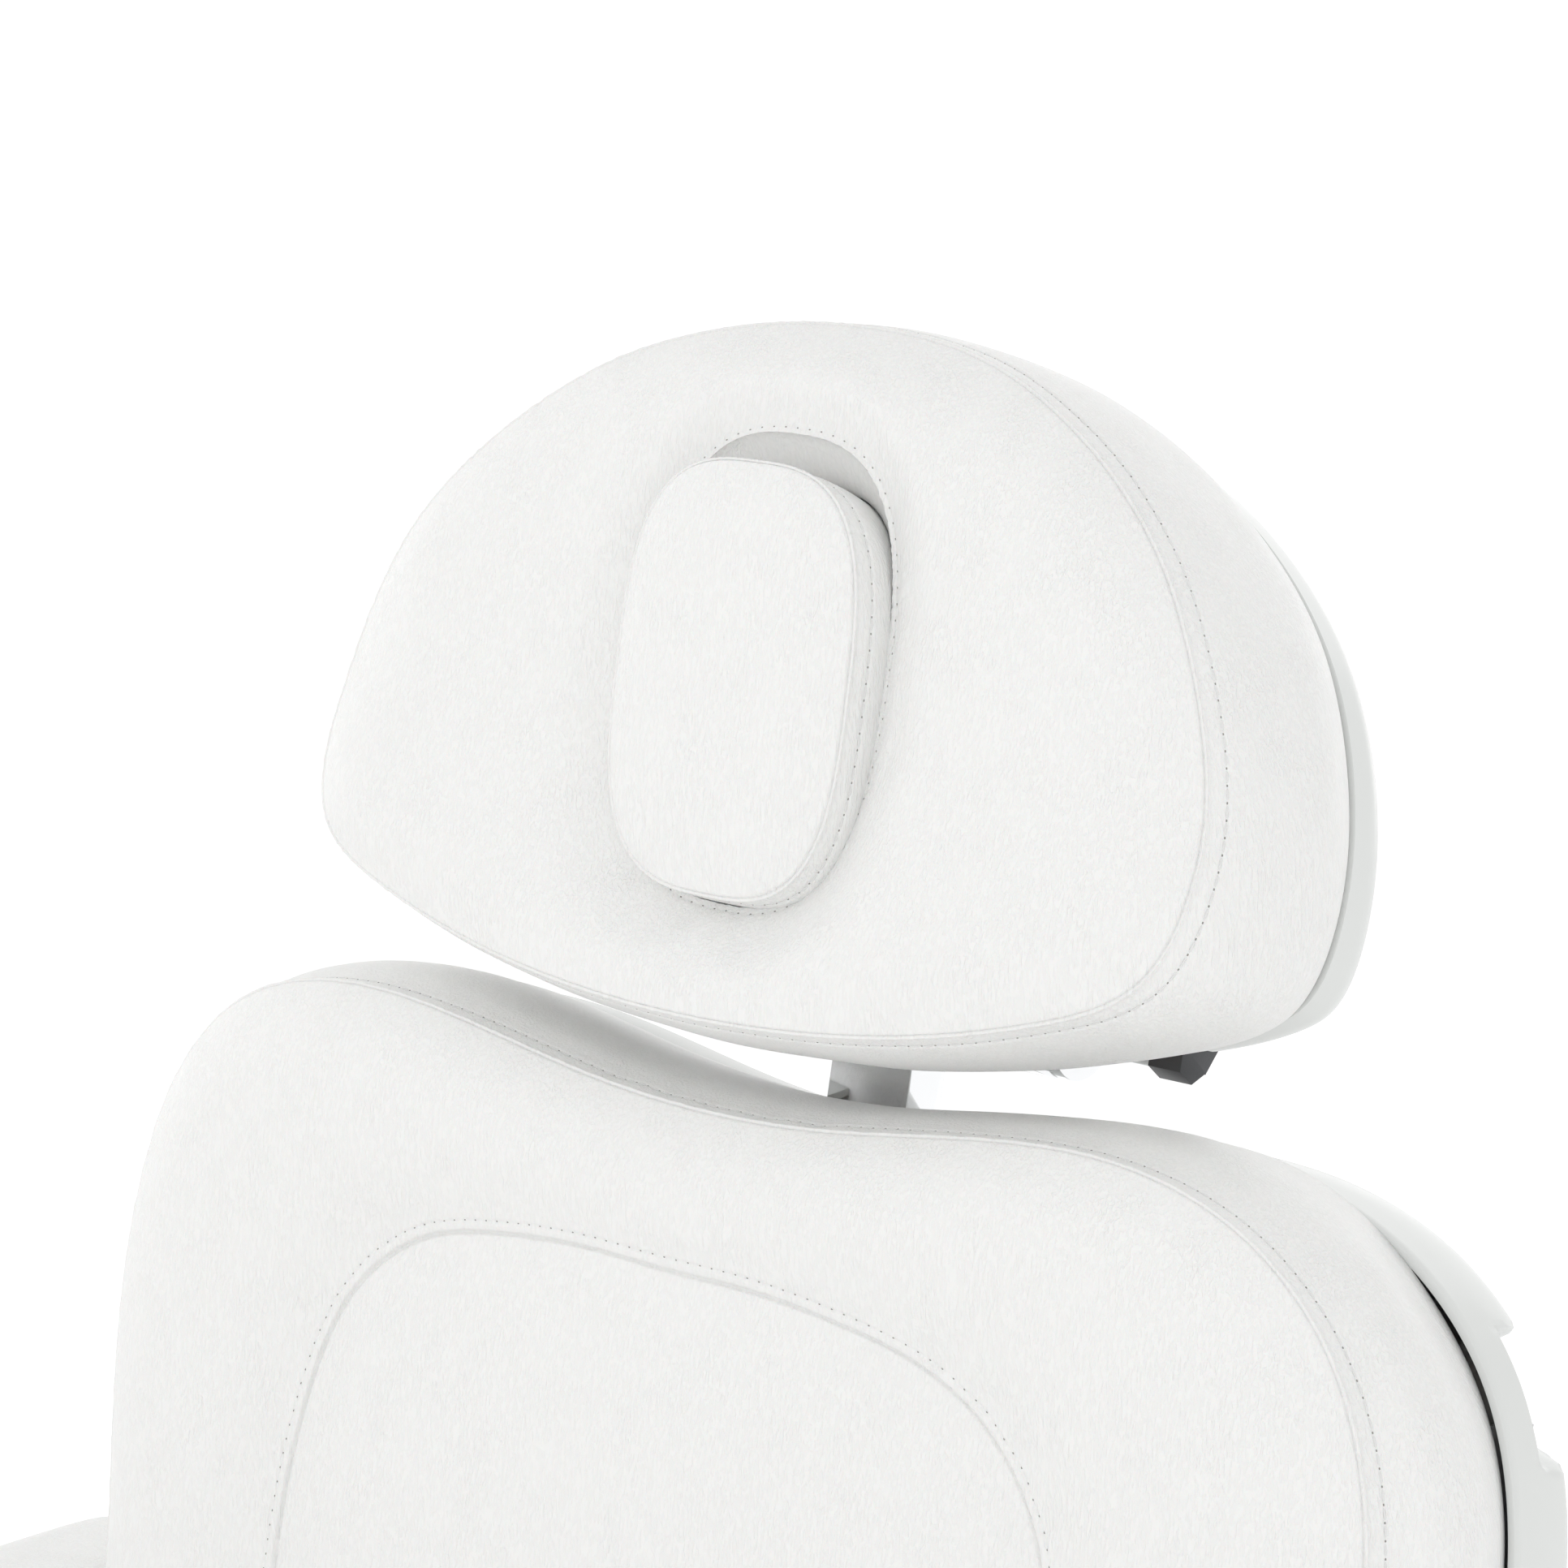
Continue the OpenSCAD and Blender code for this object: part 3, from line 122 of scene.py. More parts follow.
class ChairColours(bpy.types.PropertyGroup):
    """Colours of the chair's finishes and of the painted shade in its needle holes, as linear values."""

    leather: colour_setting("Leather", "White leather cover", (0.85, 0.85, 0.838))
    thread: colour_setting("Thread", "Sewing thread", (0.84, 0.84, 0.83))
    # Painted shade: a dark grey for the small sunk beads that stand for the shadow inside the needle
    # holes, not a thread colour
    hole_shadow: colour_setting(
        "Needle hole shadow", "Thread that dives into the leather", (0.3, 0.29, 0.27))
    shell: colour_setting("Shell", "Moulded rear shells and covers", (0.72, 0.735, 0.72))
    steel: colour_setting("Painted steel", "Powder-coated frames", (0.6, 0.61, 0.62))
    chrome: colour_setting("Chrome", "Plated steel", (0.9, 0.91, 0.92))
    plastic: colour_setting(
        "Dark plastic", "Levers, knobs and motor bodies", (0.045, 0.047, 0.052))


class Leaning:
    """Axes of a leaning sub-assembly: x across, depth towards its back, rise along it."""

    def __init__(self, origin, rise, back_sign=1.0):
        self.origin = np.array(origin, float)
        self.rise = np.array(rise, float) / np.linalg.norm(rise)
        self.depth = back_sign * np.cross(self.rise, (1.0, 0.0, 0.0))

    def place(self, points):
        """World places of points given as x, depth and rise."""
        p = np.asarray(points, float)
        across = np.array((1.0, 0.0, 0.0))
        return self.origin + p[..., :1] * across + p[..., 1:2] * self.depth + p[..., 2:] * self.rise

    def moved(self, depth, rise):
        """The same axes from another origin, given in these axes."""
        return self.place(np.array((0.0, depth, rise)))


HEAD_DEPTH, HEAD_RISE = -57 * MM, 738 * MM
LEG_LEAN = math.radians(45)
BACK = Leaning(JOINTS["recline"]["pos_m"], JOINTS["headrest_height"]["axis"])
HEAD_OUT = np.array(JOINTS["plug_out"]["axis"], float)
HEAD = Leaning(BACK.moved(HEAD_DEPTH, HEAD_RISE), np.cross((1.0, 0.0, 0.0), -HEAD_OUT))
LEG = Leaning(
    JOINTS["leg_lift"]["pos_m"], (0.0, -math.cos(LEG_LEAN), -math.sin(LEG_LEAN)), back_sign=-1.0)


def eased(xs, ys, x):
    """Monotone cubic through the rows ys at xs: each piece is a Hermite cubic whose end slopes are
    the weighted harmonic means of the slopes beside them, or nothing where those change sign."""
    xs, ys, x = np.asarray(xs, float), np.asarray(ys, float), np.asarray(x, float)
    tail = (1,) * (ys.ndim - 1)
    h = np.diff(xs).reshape((-1,) + tail)
    slope = np.diff(ys, axis=0) / h
    m = np.zeros_like(ys)
    m[0], m[-1] = slope[0], slope[-1]
    before, after = slope[:-1], slope[1:]
    same = before * after > 0
    w1, w2 = 2 * h[1:] + h[:-1], h[1:] + 2 * h[:-1]
    safe_before, safe_after = np.where(same, before, 1.0), np.where(same, after, 1.0)
    m[1:-1] = np.where(same, (w1 + w2) / (w1 / safe_before + w2 / safe_after), 0.0)
    i = np.clip(np.searchsorted(xs, x, side="right") - 1, 0, len(xs) - 2)
    step = (xs[i + 1] - xs[i]).reshape(x.shape + tail)
    t = (np.clip(x, xs[0], xs[-1]) - xs[i]).reshape(x.shape + tail) / step
    a, b = ys[i], ys[i + 1]
    return (
        a * (1 + 2 * t) * (1 - t) ** 2 + b * t * t * (3 - 2 * t)
        + step * (m[i] * t * (1 - t) ** 2 - m[i + 1] * t * t * (1 - t)))


def smooth(t):
    """The usual 3t^2 - 2t^3 ease from 0 to 1."""
    t = np.clip(t, 0.0, 1.0)
    return t * t * (3 - 2 * t)


def rolled(d, reach):
    """Height of a rolled edge at distance d from its seam, from 0 to 1: the parabola x(2 - x)."""
    x = np.clip(d / reach, 0.0, 1.0)
    return x * (2 - x)


def closed_curve(points, count):
    """Periodic cubic spline through the points, walked in even steps of its length. Its second
    derivatives solve the cyclic system that keeps slope and curvature continuous."""
    p = np.asarray(points, float)
    n = len(p)
    i = np.arange(n)
    h = np.linalg.norm(np.roll(p, -1, 0) - p, axis=1)
    system = np.zeros((n, n))
    system[i, i - 1] += h[i - 1]
    system[i, i] += 2 * (h[i - 1] + h)
    system[i, (i + 1) % n] += h
    slope = (np.roll(p, -1, 0) - p) / h[:, None]
    bend = np.linalg.solve(system, 6 * (slope - np.roll(slope, 1, 0)))
    fine = 48
    t = np.linspace(0, 1, fine, endpoint=False)[None, :, None]
    a, b = p[:, None], np.roll(p, -1, 0)[:, None]
    ma, mb, hh = bend[:, None], np.roll(bend, -1, 0)[:, None], h[:, None, None]
    curve = (
        a * (1 - t) + b * t
        - hh * hh / 6 * (ma * (1 - t) * (1 - (1 - t) ** 2) + mb * t * (1 - t * t)))
    curve = np.vstack([curve.reshape(n * fine, -1), p[:1]])
    length = np.concatenate([[0], np.cumsum(np.linalg.norm(np.diff(curve, axis=0), axis=1))])
    where = np.linspace(0, length[-1], count, endpoint=False)
    return np.stack([np.interp(where, length, curve[:, k]) for k in range(p.shape[1])], 1)


def mirrored(half):
    """A closed list of points from its right half, which runs up from the lowest middle point."""
    half = np.asarray(half, float)
    return np.vstack([half, half[-2:0:-1] * (-1, 1)])


def outline(shares, half_width, foot, length, count):
    """Even points round an outline given as shares of its half width and of its length."""
    half = np.asarray(shares, float) * (half_width, length) + (0, foot)
    return closed_curve(mirrored(half), count)


def at_depth(line, depth):
    """A line's points in a sub-assembly's axes, at one depth or at a depth for each."""
    return np.column_stack([line[:, 0], np.broadcast_to(depth, len(line)), line[:, 1]])


def at_height(line, height):
    """A flat line's points at a height."""
    return np.column_stack([line, np.full(len(line), height)])


def outward(line):
    """Outward unit normals of a closed line that runs anticlockwise."""
    t = np.roll(line, -1, 0) - np.roll(line, 1, 0)
    n = np.stack([t[:, 1], -t[:, 0]], 1)
    return n / np.linalg.norm(n, axis=1, keepdims=True)


def oval(directions, half_w, half_h, power, low=0.0):
    """Points of a superellipse in the given directions from its middle, which lies low below 0."""
    u = directions - (0, -low)
    u = u / np.linalg.norm(u, axis=1, keepdims=True)
    reach = (np.abs(u[:, 0] / half_w) ** power + np.abs(u[:, 1] / half_h) ** power) ** (-1 / power)
    return u * reach[:, None] + (0, -low)


def rounded_rectangle(half_w, half_l, radius, count):
    """Even points round a rectangle with round corners, from the middle of its lower side."""
    arc = np.linspace(-math.pi / 2, 0, 7)
    centre = (half_w - radius, radius - half_l)
    corner = np.stack([np.cos(arc), np.sin(arc)], 1) * radius + centre
    upper = (corner * (1, -1))[::-1]
    side = [(half_w, y) for y in np.linspace(-half_l + radius, half_l - radius, 8)[1:-1]]
    low = [(x, -half_l) for x in np.linspace(0, half_w - radius, 4)[:-1]]
    high = [(x, half_l) for x in np.linspace(half_w - radius, 0, 4)[1:]]
    return closed_curve(mirrored(np.vstack([low, corner, side, upper, high])), count)


class Skin:
    """A closed surface as a grid of points: rings along the first axis, closed round the second.
    The first and the last ring end in a pole, or join each other when loop is true."""

    def __init__(self, grid, loop=False):
        self.grid = np.asarray(grid, float)
        self.loop = loop
        self.sense = 1.0 if self.volume() > 0 else -1.0

    def volume(self):
        """Six times the enclosed volume, positive when rings and columns turn outwards."""
        g = self.grid - self.grid.mean((0, 1))
        nxt = np.roll(g, -1, 0) if self.loop else g[1:]
        a = g if self.loop else g[:-1]
        b, c = np.roll(a, -1, 1), np.roll(nxt, -1, 1)
        total = (np.cross(a, b) * c).sum() + (np.cross(a, c) * nxt).sum()
        if not self.loop:
            for ring, sign in ((g[0], -1.0), (g[-1], 1.0)):
                total += sign * (np.cross(ring, np.roll(ring, -1, 0)) * ring.mean(0)).sum()
        return total

    def normals(self):
        """Outward unit normals from central differences along and across the rings."""
        g = self.grid
        around = np.roll(g, -1, 1) - np.roll(g, 1, 1)
        across = np.roll(g, -1, 0) - np.roll(g, 1, 0) if self.loop else np.gradient(g, axis=0)
        n = np.cross(around, across) * self.sense
        return n / np.maximum(np.linalg.norm(n, axis=2, keepdims=True), 1e-12)

    def across_from(self, row):
        """Signed distance over the surface from a ring, for each point of the grid."""
        step = np.linalg.norm(np.diff(self.grid, axis=0), axis=2)
        reach = np.vstack([np.zeros((1, self.grid.shape[1])), np.cumsum(step, 0)])
        return reach - reach[row]

    def along(self):
        """Angle-like place round the rings, from 0 to a full turn."""
        return np.linspace(0, 2 * math.pi, self.grid.shape[1], endpoint=False)[None, :]

    def push(self, amount):
        """Moves every point along its normal by the given grid of amounts."""
        self.grid = self.grid + self.normals() * amount[..., None]

    def line_at(self, across, distance):
        """Points and normals along the line where across passes a distance."""
        columns = np.arange(self.grid.shape[1])
        i = np.clip(np.argmax(across >= distance, axis=0), 1, len(across) - 1)
        low, high = across[i - 1, columns], across[i, columns]
        t = np.clip((distance - low) / np.maximum(high - low, 1e-9), 0, 1)[:, None]
        n = self.normals()
        mix = lambda g: g[i - 1, columns] * (1 - t) + g[i, columns] * t
        return mix(self.grid), mix(n)

    def object(self, name):
        """A smooth-shaded mesh object of the surface."""
        rows, cols = self.grid.shape[:2]
        index = np.arange(rows * cols).reshape(rows, cols)
        a = index if self.loop else index[:-1]
        d = np.roll(index, -1, 0) if self.loop else index[1:]
        quads = np.stack([a, np.roll(a, -1, 1), np.roll(d, -1, 1), d], -1).reshape(-1, 4)
        points, fans = self.grid.reshape(-1, 3), []
        if not self.loop:
            points = np.vstack([points, self.grid[0].mean(0), self.grid[-1].mean(0)])
            first, last = index[0], index[-1]
            fans = [
                np.stack([np.roll(first, -1), first, np.full(cols, rows * cols)], 1),
                np.stack([last, np.roll(last, -1), np.full(cols, rows * cols + 1)], 1)]
        if self.sense < 0:
            quads, fans = quads[:, ::-1], [f[:, ::-1] for f in fans]
        faces = quads.tolist() + [f for fan in fans for f in fan.tolist()]
        return mesh_object(name, points, faces)


def linked(name, data):
    """A new object of the data, in the scene."""
    made = bpy.data.objects.new(name, data)
    bpy.context.scene.collection.objects.link(made)
    return made


def mesh_object(name, points, faces, smooth_faces=True):
    """An object of the given points and faces, in the scene."""
    mesh = bpy.data.meshes.new(name)
    mesh.from_pydata(np.asarray(points).tolist(), [], faces)
    mesh.update()
    mesh.polygons.foreach_set("use_smooth", np.full(len(mesh.polygons), smooth_faces))
    return linked(name, mesh)


def waves(along, seed, count, low, high):
    """A smooth periodic wander in about -1 to 1: sines of random whole frequencies and phases."""
    rng = np.random.default_rng(seed)
    turns = rng.integers(low, high, count)
    phase = rng.uniform(0, 2 * math.pi, count)
    size = 1 / np.sqrt(turns)
    total = sum(s * np.sin(k * along + p) for s, k, p in zip(size, turns, phase))
    return total / size.sum() * 2


class Thread:
    """Rows of stitches, gathered into one mesh."""

    SIDES = 6
    RINGS = np.array([(-0.5, 0.35), (-0.32, 0.9), (0.0, 1.0), (0.32, 0.9), (0.5, 0.35)])

    def __init__(self):
        self.points, self.faces, self.used = [], [], 0

    def row(self, path, normals, pitch, length, radius, lift, closed=True, shift=0.0):
        """Lays stitches along a path. A stitch is a bead with rings at set shares of its length,
        arched so that its ends dip into the leather, and shift moves it on by a share of the pitch."""
        p, n = np.asarray(path, float), np.asarray(normals, float)
        if closed:
            p, n = np.vstack([p, p[:1]]), np.vstack([n, n[:1]])
        length_at = np.concatenate([[0], np.cumsum(np.linalg.norm(np.diff(p, axis=0), axis=1))])
        count = max(2, int(round(length_at[-1] / pitch)))
        step = length_at[-1] / count
        pick = lambda g, at: np.stack([np.interp(at, length_at, g[:, k]) for k in range(3)], -1)
        middles = (np.arange(count) + 0.5 + shift) * step
        places = middles[:, None] + self.RINGS[None, :, 0] * length
        if closed:
            middles, places = middles % length_at[-1], places % length_at[-1]
        centre, normal = pick(p, places), pick(n, places)
        normal = normal / np.linalg.norm(normal, axis=2, keepdims=True)
        tangent = pick(p, middles + step * 0.3) - pick(p, middles - step * 0.3)
        tangent = (tangent / np.linalg.norm(tangent, axis=1, keepdims=True))[:, None]
        side = np.cross(np.broadcast_to(tangent, normal.shape), normal)
        side = side / np.linalg.norm(side, axis=2, keepdims=True)
        arch = lift - (2 * self.RINGS[:, 0]) ** 4 * radius
        centre = centre + normal * arch[None, :, None]
        turn = np.arange(self.SIDES) * 2 * math.pi / self.SIDES
        ring = (
            side[:, :, None] * np.cos(turn)[None, None, :, None]
            + normal[:, :, None] * np.sin(turn)[None, None, :, None])
        beads = centre[:, :, None] + ring * (radius * self.RINGS[:, 1])[None, :, None, None]
        rings, sides = len(self.RINGS), self.SIDES
        index = np.arange(rings * sides).reshape(rings, sides)
        a, b = index[:-1], index[1:]
        one = np.stack([a, b, np.roll(b, -1, 1), np.roll(a, -1, 1)], -1).reshape(-1, 4)
        starts = self.used + np.arange(count) * rings * sides
        self.points.append(beads.reshape(-1, 3))
        self.faces += (starts[:, None, None] + one[None]).reshape(-1, 4).tolist()
        self.faces += (starts[:, None] + index[0][None]).tolist()
        self.faces += (starts[:, None] + index[-1][::-1][None]).tolist()
        self.used += count * rings * sides

    def object(self, name):
        """The gathered stitches as one mesh object."""
        return mesh_object(name, np.vstack(self.points), self.faces)


class Sewing:
    """The stitches of a pad and, between them, dark beads of painted shade for the needle holes, each
    kept as one mesh.
    """

    def __init__(self, sizes):
        self.sizes = sizes
        self.stitches, self.holes = Thread(), Thread()

    def topstitch(self, path, normals, closed=True):
        """A row of long stitches with a dark bead of painted shade for the needle hole at every joint.
        """
        z = self.sizes
        self.stitches.row(
            path, normals, z.stitch_pitch, z.stitch_length, z.thread, z.thread * 0.3, closed)
        self.hole_shadows(path, normals, 0.5, closed)

    def hole_shadows(self, path, normals, shift, closed=True):
        """A row of dark beads of painted shade for the needle holes, moved along by a share of the
        pitch.
        """
        z = self.sizes
        self.holes.row(
            path, normals, z.stitch_pitch, z.thread * 3, z.thread, -z.thread * 0.35, closed, shift)

    def objects(self, name):
        """Both meshes."""
        return self.stitches.object(name + "_topstitch"), self.holes.object(name + "_hole_shadows")


def sewn(name, skin, sizes, amount, v, w=None, dots=0.0):
    """A pad as three objects: its skin moved by the amounts, with a topstitch beside the seam where
    v is 0, and with dark beads of painted needle-hole shade at dots before the seam where w is 0."""
    skin.push(amount)
    sewing = Sewing(sizes)
    sewing.topstitch(*skin.line_at(v, -sizes.band_width))
    if w is not None:
        sewing.hole_shadows(*skin.line_at(w, -dots), 0.0)
    return skin.object(name), *sewing.objects(name)


def graded(end, details, fine, coarse):
    """Places from 0 to end whose spacing grows with the distance to the nearest detail line."""
    places = [0.0]
    while places[-1] < end:
        near = min(abs(places[-1] - d) for d in details)
        places.append(places[-1] + min(coarse, fine + near * 0.2))
    return np.array(places) * (end / places[-1])


def ridge(v, place, width):
    """A bell of height 1 at a place, for grooves and folds."""
    return np.exp(-((v - place) / width) ** 2)


FINE, COARSE, TOP_COARSE, PANEL_COARSE, CAP_COARSE = 0.3 * MM, 7 * MM, 5 * MM, 11 * MM, 4 * MM
COLUMNS = 720
# Shares of a swell at upper and lower edges, and at corners: of a pad, its back edge and its shell
EDGE_SHARE, CORNER_SHARE, BACK_CORNER_SHARE = 0.45, 0.2, -0.4
SHELL_EDGE_SHARE, SHELL_CORNER_SHARE = 0.05, 0.3
SOFT_GAP = 0.3 * MM
PAD_BACK, PAD_RIM = 22 * MM, 74 * MM
PAD_BULGE, PAD_CROWN, PAD_ROLL = 20 * MM, 17 * MM, 42 * MM
# The top falls to the inner seam over a length, or over a share of a short way
PANEL_FALL, PANEL_FALL_SHARE = 38 * MM, 0.55
PANEL_SINK, PANEL_SWELL, PANEL_ROLL = 3 * MM, 2.5 * MM, 30 * MM
PANEL_DOTS, PANEL_WELT, PANEL_GROOVE = 5 * MM, 0.7 * MM, 0.35 * MM
# A way over a pad's top, for the spacing of its rows, and the ends where all ways are spaced alike
TOP_WAY, TOP_END = 90 * MM, 15 * MM
GROOVE_WIDTH = 0.7 * MM
SEAM_PLANE = PAD_BACK - PAD_RIM
# Rows of [height share of the boxing, swell share of the bulge]
RIM_SHARES = np.array(
    [(0, 0.5), (0.03, 0.56), (0.12, 0.64), (0.35, 0.95), (0.5, 1), (0.7, 0.8), (0.9, 0.15), (1, 0)])


def swell(line, amount, corner, end):
    """Moves a line outwards along its normal n by the amount times
    nx^4 + 2 nx^2 ny^2 corner + ny^4 end, so wholly at its sides only."""
    n = outward(line)
    side, edge = n[:, :1] ** 2, n[:, 1:] ** 2
    return line + n * amount * (side ** 2 + 2 * side * edge * corner + edge ** 2 * end)


def stations(reference, length, end):
    """Places on ways of many lengths: as in the reference near either end, and spread evenly
    between."""
    edge = TOP_END
    d, long = reference[:, None], length[None, :]
    middle = edge + (d - edge) / (end - 2 * edge) * (long - 2 * edge)
    return np.where(d <= edge, d, np.where(d >= end - edge, long - (end - d), middle))


class PanelPad:
    """A thick pad with a boxing, a rolled border and an inner panel, all sewn together."""

    def __init__(self, axes, rim, panel, half_width, foot, top, wander, panel_lift):
        """rim and panel are outlines in shares. wander gives the seam's depth behind the seam plane
        and panel_lift the inner seam's height over the rim seam, both as rows of (rise, length)."""
        self.axes = axes
        self.rim = outline(rim, half_width, foot, top - foot, COLUMNS)
        self.panel = outline(panel, half_width, foot, top - foot, COLUMNS)
        self.wander, self.panel_lift = np.array(wander), np.array(panel_lift)

    def seam_depth(self, rise):
        """Depth of the rim seam at a rise."""
        return SEAM_PLANE + eased(self.wander[:, 0], self.wander[:, 1], rise)

    def skin(self, band):
        """The pad's surface before its seams are drawn in."""
        rim, panel = self.rim, self.panel
        at_rim, at_panel = self.seam_depth(rim[:, 1]), self.seam_depth(panel[:, 1])
        lift = eased(self.panel_lift[:, 0], self.panel_lift[:, 1], panel[:, 1])
        rows = []
        back = PAD_BACK - SOFT_GAP
        for b in graded(back - SEAM_PLANE, (0, band), FINE, COARSE)[:0:-1]:
            share = 1 - b / (back - SEAM_PLANE)
            corner = BACK_CORNER_SHARE + (CORNER_SHARE - BACK_CORNER_SHARE) * smooth(np.array(share * 2))
            bulge = PAD_BULGE * eased(RIM_SHARES[:, 0], RIM_SHARES[:, 1], share)
            line = swell(rim, bulge, corner, EDGE_SHARE)
            rows.append(at_depth(line, back + (at_rim - back) * share))
        self.seam_row = len(rows)
        span = np.linalg.norm(panel - rim, axis=1)
        details = (0, TOP_WAY - PANEL_DOTS, TOP_WAY)
        for v in stations(graded(TOP_WAY, details, FINE, TOP_COARSE), span, TOP_WAY):
            t = (v / span)[:, None]
            line = rim * (1 - t) + panel * t
            fall = np.minimum(PANEL_FALL, span * PANEL_FALL_SHARE)
            height = PAD_CROWN * rolled(v, PAD_ROLL)
            height = height + (lift - height) * smooth((v - span + fall) / fall)
            rows.append(at_depth(line, at_rim * (1 - t[:, 0]) + at_panel * t[:, 0] - height))
        self.panel_row = len(rows) - 1
        middle = panel.mean(0)
        flat = self.seam_depth(middle[1]) - lift.mean() - PANEL_SINK
        reach = np.linalg.norm(panel - middle, axis=1).mean()
        for v in graded(reach, (0,), FINE, PANEL_COARSE)[1:-1]:
            k = 1 - v / reach
            line = middle + (panel - middle) * k
            depth = (at_panel - lift) * k + flat * (1 - k)
            rows.append(at_depth(line, depth - PANEL_SWELL * rolled(np.array(v), PANEL_ROLL)))
        return Skin(self.axes.place(np.stack(rows)))

    def build(self, name, sizes, seed):
        """The sewn pad, its stitches and its beads of painted needle-hole shade, as three objects."""
        skin = self.skin(sizes.band_width)
        inflate(skin, (self.seam_row, self.panel_row), SWELL_CAP)
        v, w = skin.across_from(self.seam_row), skin.across_from(self.panel_row)
        amount = sewn_edge(v, sizes)
        amount -= sizes.seam_depth * 1.2 * ridge(w, 0, GROOVE_WIDTH)
        welt = smooth((w + PANEL_DOTS) / (1.5 * MM)) * (1 - smooth((w + 1.5 * MM) / (1 * MM)))
        amount += PANEL_WELT * welt - PANEL_GROOVE * ridge(w, -PANEL_DOTS, GROOVE_WIDTH)
        amount += gathers(skin, v, w, sizes, seed)
        return sewn(name, skin, sizes, amount, v, w, PANEL_DOTS)


def sewn_edge(v, sizes):
    """A seam at 0. Behind it, where v is below 0, the folded edge of the boxing stands proud, and
    the flat band runs on to the groove of its topstitch."""
    band = sizes.band_width
    flat = smooth((-v - 1.2 * MM) / (1 * MM)) * (1 - smooth((-v - band + 1 * MM) / (1.5 * MM)))
    return (
        sizes.fold_height * ridge(v, -0.8 * MM, 0.6 * MM)
        - sizes.seam_depth * ridge(v, 0.2 * MM, 0.5 * MM)
        - 0.2 * MM * flat - 0.5 * MM * ridge(v, -band, 0.8 * MM))


def uneven(points, seed):
    """The broad unevenness of foam, about -1 to 1: sines of random directions and lengths."""
    rng = np.random.default_rng(seed)
    total = 0.0
    for _ in range(9):
        way = rng.normal(size=3)
        way *= 2 * math.pi / (np.linalg.norm(way) * rng.uniform(60, 190) * MM)
        total = total + np.sin(points @ way + rng.uniform(0, 2 * math.pi))
    return total / 4.5


def gathers(skin, v, w, sizes, seed):
    """Small gathers that fade away from two seams, and the unevenness of the foam between."""
    around = skin.along()
    fine = waves(around, seed, 14, 90, 330)
    other = waves(around, seed + 1, 14, 70, 240)
    return (
        sizes.pucker * fine * np.exp(-np.abs(v) / (9 * MM))
        + sizes.pucker * other * np.exp(-np.abs(w) / (13 * MM))
        + 0.4 * MM * uneven(skin.grid, seed + 2) * smooth(np.abs(v) / (12 * MM)))


def inflate(skin, seams, cap):
    """Blows a coarse copy of the skin up as cloth that its seams and its first and last rings hold,
    then moves the skin as the cloth moved, by up to the cap."""
    step = np.linalg.norm(np.diff(skin.grid, axis=0), axis=2).mean(1)
    place = np.concatenate([[0], np.cumsum(step)])
    rows = [0]
    for k in range(1, len(place)):
        near_seam = any(0 < s - k < 30 and place[s] - place[k] < CLOTH_CELL * 0.6 for s in seams)
        far_enough = place[k] - place[rows[-1]] >= CLOTH_CELL and not near_seam
        if k in seams or k == len(place) - 1 or far_enough:
            rows.append(k)
    columns = np.arange(0, skin.grid.shape[1], CLOTH_COLUMNS)
    coarse = Skin(skin.grid[rows][:, columns], skin.loop)
    cloth = coarse.object("cloth_trial")
    held = cloth.vertex_groups.new(name="held")
    index = np.arange(len(rows) * len(columns)).reshape(len(rows), len(columns))
    tight = [rows.index(s) for s in seams] + [0, 1, len(rows) - 1]
    held.add(index[tight].ravel().tolist(), 1.0, "REPLACE")
    made = cloth.modifiers.new("cloth", "CLOTH")
    settings = made.settings
    settings.vertex_group_mass = "held"
    settings.use_pressure = True
    settings.uniform_pressure_force = CLOTH_PRESSURE
    settings.effector_weights.gravity = 0.0
    settings.tension_stiffness = settings.compression_stiffness = CLOTH_STIFFNESS
    settings.bending_stiffness = CLOTH_BENDING
    made.collision_settings.use_collision = False
    scene = bpy.context.scene
    for shown in range(1, CLOTH_FRAMES + 1):
        scene.frame_set(shown)
    mesh = cloth.evaluated_get(bpy.context.evaluated_depsgraph_get()).to_mesh()
    after = np.empty(len(mesh.vertices) * 3)
    mesh.vertices.foreach_get("co", after)
    moved = after.reshape(-1, 3)[:index.size].reshape(coarse.grid.shape) - coarse.grid
    bpy.data.objects.remove(cloth)
    scene.frame_set(1)
    far = np.linalg.norm(moved, axis=2, keepdims=True)
    moved *= cap * np.tanh(far / cap) / np.maximum(far, 1e-9)
    waves_of = np.fft.rfft(moved, axis=1)
    wide = np.fft.irfft(waves_of, skin.grid.shape[1], axis=1) * CLOTH_COLUMNS
    skin.grid = skin.grid + eased(place[rows], wide, place)


BACK_OUTLINE = [
    (0, 0), (0.5, 0), (0.88, 0.002), (0.965, 0.035), (0.985, 0.12), (0.98, 0.3), (0.978, 0.463),
    (1, 0.618), (0.998, 0.797), (0.937, 0.9), (0.827, 0.966), (0.68, 0.998), (0.468, 0.999),
    (0.197, 0.976), (0, 0.969)]
BACK_PANEL = [
    (0, 0.07), (0.34, 0.07), (0.54, 0.075), (0.597, 0.112), (0.61, 0.19), (0.63, 0.35), (0.64, 0.45),
    (0.635, 0.575), (0.607, 0.683), (0.558, 0.757), (0.49, 0.801), (0.406, 0.828), (0.29, 0.843),
    (0.125, 0.851), (0, 0.85)]
LEG_OUTLINE = [
    (0, 0), (0.5, 0), (0.88, 0.002), (0.97, 0.045), (0.99, 0.2), (0.99, 0.5), (0.98, 0.8),
    (0.945, 0.93), (0.82, 0.99), (0.5, 1), (0, 1)]
LEG_PANEL = [
    (0, 0.1), (0.35, 0.1), (0.6, 0.105), (0.68, 0.15), (0.7, 0.25), (0.7, 0.5), (0.69, 0.72),
    (0.66, 0.83), (0.56, 0.88), (0.35, 0.895), (0, 0.9)]
